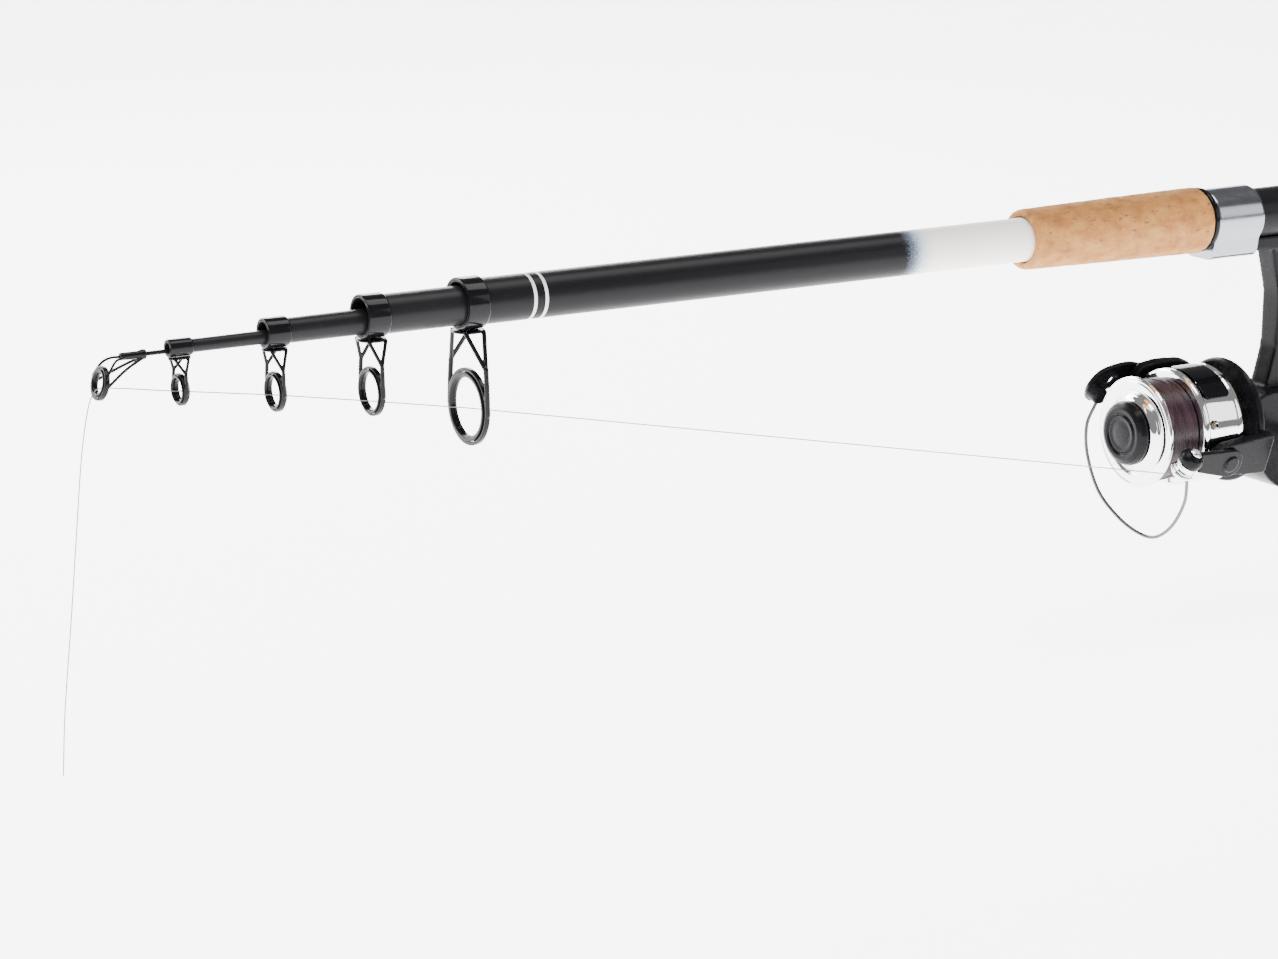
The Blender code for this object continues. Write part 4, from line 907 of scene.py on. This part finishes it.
def make_nut():
    low, high = (Vector(p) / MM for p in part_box("seat_lock_nut"))

    def knurl(along, radius, angle):
        if radius < 12.0 or not low.x + 1.6 < along < high.x - 1.6:
            return radius
        return radius - 0.45 * max(0.0, math.sin(angle * 40)) ** 0.7
    profile = soften([(low.x, 10.35), (low.x, 11.8), (low.x + 1.0, 12.6), (high.x - 1.0, 12.6), (high.x, 11.8),
                      (high.x, 10.35)], 0.4)
    made = turned("lock_nut_knurled", fine_steps(profile, 0.7), sides=320, round_by=0, ripple=knurl)
    piece(made, "lock_nut", "gunmetal", LOOKS["gunmetal"], "seat_lock_nut")


# ---------------------------------------------------------------- reel

SPOOL_FRONT = -75.3
SKIRT_FRONT = -57.8
SKIRT_REAR = -38.5
SPOOL_HOLES = 8


def make_spool():
    """A plated spool: a stepped front, a boss for the knob, a flange, a barrel and a drilled skirt."""
    front = SPOOL_FRONT
    profile = soften([
        (-77.4, 2.6), (-77.4, 13.2), (-76.9, 14.0), (-75.9, 15.0), (-75.6, 15.6), (-74.6, 16.0), (-74.2, 16.8),
        (front + 0.4, 17.5),
        (front, 20.4), (front + 0.5, 20.9), (front + 0.2, 21.4), (front + 0.5, 22.2), (front + 1.3, 22.5),
        (front + 2.3, 22.1), (front + 3.4, 14.5), (SKIRT_FRONT - 0.6, 14.5), (SKIRT_FRONT - 0.1, 22.9),
        (SKIRT_FRONT + 0.7, 23.8), (SKIRT_FRONT + 2.2, 23.9), (SKIRT_FRONT + 2.6, 23.6), (SKIRT_REAR - 2.4, 23.9),
        (SKIRT_REAR - 2.0, 24.2), (SKIRT_REAR, 24.2), (SKIRT_REAR, 22.6), (SKIRT_FRONT + 2.2, 22.2),
        (SKIRT_FRONT + 2.2, 7.0), (SKIRT_REAR - 7.0, 6.0), (SKIRT_REAR - 7.0, 2.6),
    ], 0.3)
    made = turned("spool_plated", profile, matrix=REEL, sides=192, round_by=0)
    cutters = []
    for i in range(SPOOL_HOLES):
        turn = Matrix.Rotation(FULL_TURN * i / SPOOL_HOLES + math.radians(33.0), 4, "X")
        cutters.append(turned("hole", disc(19.8, 26.8, 2.1), "Z", REEL @ turn @ Matrix.Translation((-53.0 * MM, 0, 0)),
                              40, 0))
    cut(made, cutters)
    smooth(made, 35.0)
    piece(made, "spool", "chrome", LOOKS["chrome"], "spool")
    steps = 24
    points = []
    for radius in (24.02, 24.22):
        for i in range(steps + 1):
            angle = math.radians(80.0 + 62.0 * i / steps)
            inset = 1.6 * max(0.0, abs(2.0 * i / steps - 1.0) - 0.9) / 0.1
            for along in (-54.4 + inset, -41.6 - inset):
                points.append((along, radius * math.cos(angle), radius * math.sin(angle)))
    row = 2 * (steps + 1)
    faces = []
    for i in range(steps):
        a = 2 * i
        faces.append((a, a + 1, a + 3, a + 2))
        faces.append((row + a, row + a + 2, row + a + 3, row + a + 1))
        faces.append((a, a + 2, row + a + 2, row + a))
        faces.append((a + 1, row + a + 1, row + a + 3, a + 3))
    faces.append((0, row, row + 1, 1))
    faces.append((row - 2, row - 1, 2 * row - 1, 2 * row - 2))
    panel = make_mesh("skirt_panel", points, faces, REEL)
    smooth(panel, 35.0)
    piece(panel, "spool", "gloss_black", LOOKS["gloss_black"])


def make_winding():
    """Close turns of line from flange to skirt, with a few strands that cross them."""
    first, last = SPOOL_FRONT + 3.5, SKIRT_FRONT - 0.8
    turns = 34
    pitch = (last - first) / turns
    crown = []
    for i in range(turns * 6 + 1):
        along = first + pitch * i / 6
        swell = 0.25 * math.sin(math.pi * i / (turns * 6))
        crown.append((along, 20.25 + swell + 0.16 * abs(math.sin(math.pi * i / 6))
                      + 0.05 * math.sin(i * 0.71)))
    profile = [(first, 14.8)] + crown + [(last, 14.8)]
    wound = turned("wound_turns", profile, matrix=REEL, sides=160, round_by=0)
    piece(wound, "spool", "spool_line_violet", LOOKS["spool_line_violet"], "spool_line")
    for number in range(7):
        start = FULL_TURN * number * 0.37
        sweep = 1.7 + 0.5 * math.sin(number * 2.3)
        lean = 1 if number % 2 else -1
        path = []
        for i in range(64):
            share = i / 63
            angle = start + lean * sweep * share
            along = first + 0.5 + (last - first - 1.0) * share
            radius = 20.35 + 0.25 * math.sin(math.pi * share) + 0.18
            path.append((along, radius * math.cos(angle), radius * math.sin(angle)))
        strand = tube(f"crossing_strand_{number + 1}", path, 0.17, REEL, 8)
        piece(strand, "spool", "spool_line_violet", LOOKS["spool_line_violet"])


def make_knob():
    """The drag knob: a glossy outer band, a recessed ring and a slightly domed inner disc."""
    profile = soften([
        (-82.0, 0), (-81.9, 3.0), (-81.6, 5.4), (-81.9, 7.2), (-81.2, 7.7), (-81.1, 8.2), (-81.8, 8.8),
        (-81.9, 10.4), (-81.0, 12.2), (-79.2, 13.1), (-78.2, 13.0), (-77.8, 12.4), (-77.8, 9.4), (-78.6, 9.4),
        (-78.6, 2.6), (-80.7, 2.6), (-80.7, 0),
    ], 0.3, closed=False)
    made = turned("drag_knob_round", fine_steps(profile, 0.5), matrix=REEL, sides=144, round_by=0)
    piece(made, "drag_knob", "reel_black", LOOKS["reel_black"], "drag_knob")


FAR_ARM_OUTLINE = (
    (-26.6, -7.4), (-26.6, 11.0), (-34.0, 14.0), (-46.0, 14.8), (-54.0, 13.6), (-57.4, 10.0), (-57.4, 3.0),
    (-56.6, -2.6), (-53.4, -6.0), (-48.0, -7.2),
)


def make_rotor():
    """A dished disc behind the skirt, with a cranked arm forward on each side."""
    disc_part = turned("disc", [
        (-30.4, 25.0), (-28.4, 25.8), (-26.4, 23.0), (-26.2, 12.0), (-26.2, 3.75), (-33.6, 3.75), (-33.6, 8.0),
        (-30.4, 10.0),
    ], matrix=ROTOR, round_by=0.8)
    parts = [disc_part]
    for side in (-1, 1):
        outline = wrap_circles([(-50.0, 0, 7.0), (-28.8, 7.0, 2.0), (-28.8, -7.0, 2.0)])
        if side > 0:
            outline = soften(FAR_ARM_OUTLINE, 2.0)
        low, high = sorted((side * 25.3, side * 29.6))
        parts.append(extruded("arm", outline, low, high, "Y", ROTOR))
        low, high = sorted((side * 21.5, side * 26.2))
        parts.append(extruded("web", soften([(-30.2, -7.5), (-26.8, -7.5), (-26.8, 7.5), (-30.2, 7.5)], 1.0),
                              low, high, "Y", ROTOR))
    cutters = [
        turned("pivots", disc(-40, 40, 1.8), "Y", ROTOR @ Matrix.Translation((PIVOT_X * MM, 0, 0)), 40, 0),
        extruded("pocket", [(-42.4, -3.2), (-31.0, -3.2), (-31.0, 3.2), (-42.4, 3.2)], 26.8, 34.0, "Y", ROTOR),
        extruded("recess", wrap_circles([(-38.4, 0, 4.8), (-33.2, 0, 4.8)]), 28.7, 34.0, "Y", ROTOR),
    ]
    made = cast("rotor_cast", parts, 0.45, 5, cutters)
    piece(made, "rotor", "reel_black", LOOKS["reel_black"], "rotor")
    cover = cast("arm_cover", [
        extruded("plate", wrap_circles([(-38.4, 0, 4.6), (-33.2, 0, 4.6)]), 28.9, 29.6, "Y", ROTOR),
    ], 0.2, 2)
    piece(cover, "rotor", "reel_black", LOOKS["reel_black"], "rotor_arm_cover")


LEVER_OUTLINE = (
    (-43.8, 0.0), (-45.6, -4.2), (-50.0, -6.2), (-54.4, -4.2), (-57.5, 0.4), (-61.5, 2.6), (-67.0, 2.4),
    (-69.8, -0.6), (-71.4, -2.6), (-75.4, -2.4), (-77.0, 1.4), (-75.6, 6.6), (-71.6, 10.8), (-66.0, 12.4),
    (-58.0, 13.4), (-50.0, 11.6), (-45.0, 6.6),
)


def make_lever():
    """The hooked lever that carries the wire's far end, with a small window through it."""
    parts = [
        extruded("plate", soften(LEVER_OUTLINE, 2.5), 29.9, 32.3, "Y", ROTOR),
        extruded("block", circle_points(-73.5, 2.2, 3.6), 25.2, 31.0, "Y", ROTOR),
        extruded("rib", soften([(-60.0, 8.2), (-66.4, 10.0), (-72.0, 9.0), (-75.4, 4.4), (-76.0, 1.0), (-73.0, 1.0),
                                (-70.6, 6.4), (-64.0, 7.2)], 1.0), 31.0, 33.2, "Y", ROTOR),
        turned("pin", disc(25.8, 31.0, 1.6), "Y", ROTOR @ Matrix.Translation((PIVOT_X * MM, 0, 0)), 40, 0),
        turned("screw_head", disc(31.5, 33.0, 3.2), "Y", ROTOR @ Matrix.Translation((PIVOT_X * MM, 0, 0)), 40, 0.4),
    ]
    window = extruded("window", soften([(-67.8, 4.4), (-64.4, 4.4), (-62.8, 7.6), (-66.0, 7.6)], 0.5), 22.0, 40.0,
                      "Y", ROTOR)
    made = cast("lever_hook", parts, 0.3, 5, [window])
    piece(made, "bail", "reel_black", LOOKS["reel_black"], "bail_lever")


def make_roller_arm():
    """The near arm with its round housing, the slotted screw, the roller and the plated cone below it."""
    bell = ROLLER_MIDDLE + ROLLER_AXIS * 3.4
    outline = wrap_circles([(PIVOT_X, 0, 6.0), (bell.x, bell.z, 3.7)])
    parts = [
        extruded("plate", outline, -32.3, -29.9, "Y", ROTOR),
        turned("bell", [(-7.3, 0), (-7.3, 2.8), (-6.9, 3.2), (-6.2, 4.3), (-4.4, 4.9), (-2.2, 4.7), (-2.2, 0)], "Y",
               ROLLER, MEDIUM, 0.5),
        turned("pin", disc(-31.0, -25.8, 1.6), "Y", ROTOR @ Matrix.Translation((PIVOT_X * MM, 0, 0)), 40, 0),
        turned("boss", disc(-33.2, -31.5, 3.4), "Y", ROTOR @ Matrix.Translation((PIVOT_X * MM, 0, 0)), 40, 0.4),
    ]
    cutters = [
        turned("seat", disc(-2.2, 9.0, 5.4), "Y", ROLLER, MEDIUM, 0),
        turned("bore", disc(-12.0, 2.0, 1.4), "Y", ROLLER, MEDIUM, 0),
        turned("counterbore", disc(-12.0, -7.0, 2.9), "Y", ROLLER, MEDIUM, 0),
    ]
    made = cast("roller_housing", parts, 0.28, 4, cutters)
    piece(made, "bail", "reel_black", LOOKS["reel_black"], "bail_arm")
    screw = turned("roller_screw_slotted", [
        (-8.4, 0), (-8.4, 1.6), (-8.0, 2.3), (-7.5, 2.4), (-7.3, 1.2), (2.2, 1.2), (2.2, 4.6), (2.7, 5.0), (3.2, 4.8),
        (4.4, 3.9), (5.2, 2.0), (5.8, 0),
    ], "Y", ROLLER, MEDIUM, 0.2)
    slot = extruded("slot", [(-0.35, -3.0), (0.35, -3.0), (0.35, 3.0), (-0.35, 3.0)], -9.5, -7.9, "Y", ROLLER)
    cut(screw, [slot])
    smooth(screw)
    piece(screw, "bail", "chrome", LOOKS["chrome"], "roller_screw")
    roller = turned("roller_grooved", [
        (-1.9, 1.4), (-1.9, 4.4), (-1.6, 4.6), (-1.2, 4.5), (-1.0, 4.2), (-0.4, 3.9), (0.6, 3.7), (1.1, 4.1),
        (1.3, 4.4), (1.7, 4.4), (1.9, 4.2), (1.9, 1.4),
    ], "Y", ROLLER, FINE, 0.15)
    piece(roller, "line_roller", "chrome", LOOKS["chrome"], "line_roller")


WIRE_ROUTE = (
    (-73.5, 27.0, -1.7), (-76.6, 25.6, -11.0), (-77.2, 20.0, -22.0), (-75.6, 10.0, -33.5), (-72.0, -1.0, -39.8),
    (-69.0, -11.5, -41.6), (-67.5, -20.0, -38.8), (-66.3, -26.1, -30.0), (-65.8, -28.7, -17.5), (-67.6, -28.3, -6.4),
)


def make_wire():
    """The bail's polished wire, from the hook out and round below the spool to the roller's cone."""
    made = tube("bail_wire_round", smooth_route(WIRE_ROUTE, 160), 0.72, ROTOR, 20)
    piece(made, "bail", "chrome", wire_look(), "bail_wire")


def body_outline(shrink):
    return wrap_circles([
        (2.0, AXIS_Z - 9.4, 21.5 - shrink),
        (26.0, AXIS_Z - 3.0, 11.5 - shrink),
        (-14.0, AXIS_Z, 11.5 - shrink),
    ], 64)


def make_body():
    """The housing with its stem, foot, neck and boss, hollow inside, and the cover with three screws."""
    parts = [
        extruded("shell", body_outline(0), -13.0, 10.5),
        extruded("stem", soften([(-12.0, AXIS_Z + 4.0), (16.0, AXIS_Z + 4.0), (7.5, AXIS_Z + 30.0),
                                 (6.0, AXIS_Z + 50.0), (9.5, -15.5), (10.0, -12.4), (-10.0, -12.4), (-9.5, -15.5),
                                 (-5.0, AXIS_Z + 50.0), (-5.5, AXIS_Z + 28.0)], 3.0), -5.0, 5.0),
        extruded("foot", soften([(-34.0, -13.4), (-12.0, -14.6), (12.0, -14.6), (34.0, -13.4), (34.0, -11.6),
                                 (14.0, -7.0), (-14.0, -7.0), (-34.0, -11.6)], 1.0), -6.4, 6.4),
        turned("neck", disc(-25.2, -8.0, 10.6), matrix=REEL, round_by=0.8),
        turned("boss", disc(-16.4, -12.0, 8.6), "Y", DRIVE, FINE, 0.8),
    ]
    for side in (-1, 1):
        low, high = sorted((side * 3.9, side * 6.2))
        parts.append(extruded("lug", wrap_circles([(15.0, -113.4, 2.8), (13.0, -106.0, 4.0)]), low, high))
    cutters = [
        turned("lug_hole", disc(-8, 8, 1.3), "Y", Matrix.Translation((15.0 * MM, 0, -113.4 * MM)), 24, 0),
        turned("saddle", disc(-40, 40, 10.5), sides=FINE, round_by=0),
        extruded("hollow", body_outline(2.0), -11.0, 15.0),
        turned("drive_hole", disc(-17.0, -8.0, 6.3), "Y", DRIVE, MEDIUM, 0),
        turned("bearing_seat", disc(-27.0, -12.0, 7.8), matrix=REEL, sides=MEDIUM, round_by=0),
    ]
    made = cast("reel_housing", parts, 0.5, 6, cutters)
    piece(made, "rod", "reel_black", LOOKS["reel_black"], "reel_body")
    spots = ((-18.0, AXIS_Z - 1.0), (30.0, AXIS_Z - 1.0), (4.0, AXIS_Z - 27.0))
    cover_parts = [
        extruded("plate", body_outline(0), 10.8, 13.0),
        turned("boss", disc(12.0, 17.0, 8.6), "Y", DRIVE, FINE, 0.8),
    ]
    holes = [turned("hole", disc(8.0, 18.0, 6.3), "Y", DRIVE, MEDIUM, 0)]
    for u, v in spots:
        holes.append(turned("sink", disc(12.2, 15.0, 2.3), "Y", Matrix.Translation((u * MM, 0, v * MM)), 32, 0))
    cover = cast("housing_cover", cover_parts, 0.4, 5, holes)
    piece(cover, "rod", "reel_black", LOOKS["reel_black"], "body_cover")
    for number, (u, v) in enumerate(spots, start=1):
        place = Matrix.Translation((u * MM, 0, v * MM))
        head = turned(f"cover_screw_{number}", [(12.25, 0), (12.25, 2.0), (13.0, 1.9), (13.4, 1.2), (13.5, 0)], "Y",
                      place, MEDIUM, 0.15)
        blades = [extruded("slot", outline, 13.0, 14.5, "Y", place @ Matrix.Rotation(number, 4, "Y"))
                  for outline in ([(-0.25, -1.3), (0.25, -1.3), (0.25, 1.3), (-0.25, 1.3)],
                                  [(-1.3, -0.25), (1.3, -0.25), (1.3, 0.25), (-1.3, 0.25)])]
        cut(head, blades)
        smooth(head)
        piece(head, "rod", "satin_steel", LOOKS["satin_steel"])


HANDLE_LENGTH = 46.0
HANDLE_ANGLE = math.radians(-58.0)
ARM_FACE = -38.4


def make_handle():
    """A flat crank with rounded edges on a long neck, its turning knob, and the screw cap opposite."""
    outer = ARM_FACE - 4.0
    end = (HANDLE_LENGTH * math.cos(HANDLE_ANGLE), HANDLE_LENGTH * math.sin(HANDLE_ANGLE))
    tip = DRIVE @ Matrix.Translation((end[0] * MM, 0, end[1] * MM))
    parts = [
        extruded("arm", wrap_circles([(0, 0, 6.5), (*end, 4.2)]), outer, ARM_FACE, "Y", DRIVE),
        turned("hub", disc(outer - 2.5, outer + 1.0, 5.6), "Y", DRIVE, MEDIUM, 0.8),
        turned("neck", [(ARM_FACE - 1.0, 0), (ARM_FACE - 1.0, 5.6), (ARM_FACE + 2.0, 4.4), (-20.4, 4.2), (-19.4, 4.8),
                        (-18.4, 4.8), (-18.4, 0)], "Y", DRIVE, MEDIUM, 0.6),
    ]
    made = cast("handle_crank", parts, 0.35, 5, [turned("hole", disc(outer - 3, ARM_FACE + 3, 1.7), "Y", tip, 32, 0)])
    piece(made, "handle", "satin_steel", LOOKS["satin_steel"], "handle_arm")
    start = outer - 24.0

    def flutes(along, radius, angle):
        share = max(0.0, min(1.0, (outer - 3.0 - along) / 6.0)) if radius > 3.0 else 0.0
        return radius * (1 - 0.05 * share * (0.5 + 0.5 * math.cos(angle * 6)))
    profile = soften([
        (start, 0), (start, 5.8), (start + 1.5, 7.6), (start + 8.0, 8.6), (start + 15.0, 7.4), (start + 21.0, 5.2),
        (outer - 0.8, 4.6), (outer - 0.3, 4.0), (outer - 0.3, 1.65), (start + 1.6, 1.65), (start + 1.6, 0),
    ], 2.2, closed=False, steps=6)
    knob = turned("handle_knob_fluted", fine_steps(profile, 0.7), "Y", tip, FINE, 0, flutes)
    piece(knob, "handle_knob", "rubber_black", LOOKS["rubber_black"], "handle_knob")
    low, high = (Vector(p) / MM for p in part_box("handle_screw_cap"))

    def coin(along, radius, angle):
        return radius - 0.25 * max(0.0, math.sin(angle * 24)) if radius > 7.5 else radius
    cap = turned("screw_cap_knurled", fine_steps(soften([
        (low.y, 0), (low.y, 8.0), (high.y - 0.6, 8.2), (high.y, 7.2), (high.y - 0.5, 5.4), (high.y - 0.5, 0),
    ], 0.3, closed=False), 0.4), "Y", DRIVE, 192, 0, coin)
    piece(cap, "rod", "satin_steel", LOOKS["satin_steel"], "handle_screw_cap")
    lever = cast("stop_lever", [
        extruded("paddle", wrap_circles([(15.0, -113.4, 2.4), (24.0, -115.0, 1.5)]), -3.5, 3.5),
        turned("axle", disc(-6.0, 6.0, 1.1), "Y", Matrix.Translation((15.0 * MM, 0, -113.4 * MM)), 32, 0),
    ], 0.25, 3)
    piece(lever, "anti_reverse_lever", "reel_black", LOOKS["reel_black"], "anti_reverse_lever")


make_camera()
make_line()
make_studio()
make_floor()
dress_nodes()
make_section("butt_section", "rod", "blank_black")
for section in ("section_2", "section_3", "section_4", "tip_section"):
    make_section(section, section, "blank_dark")
for number, guide in GUIDES.items():
    make_guide(number, guide)
make_tip_guide()
make_handle_end()
make_hood("seat_fixed_hood", "fixed_hood", "rod", True)
make_hood("seat_moving_hood", "sliding_hood", "moving_hood", False)
make_nut()
make_spool()
make_winding()
make_knob()
make_rotor()
make_lever()
make_roller_arm()
make_wire()
make_body()
make_handle()
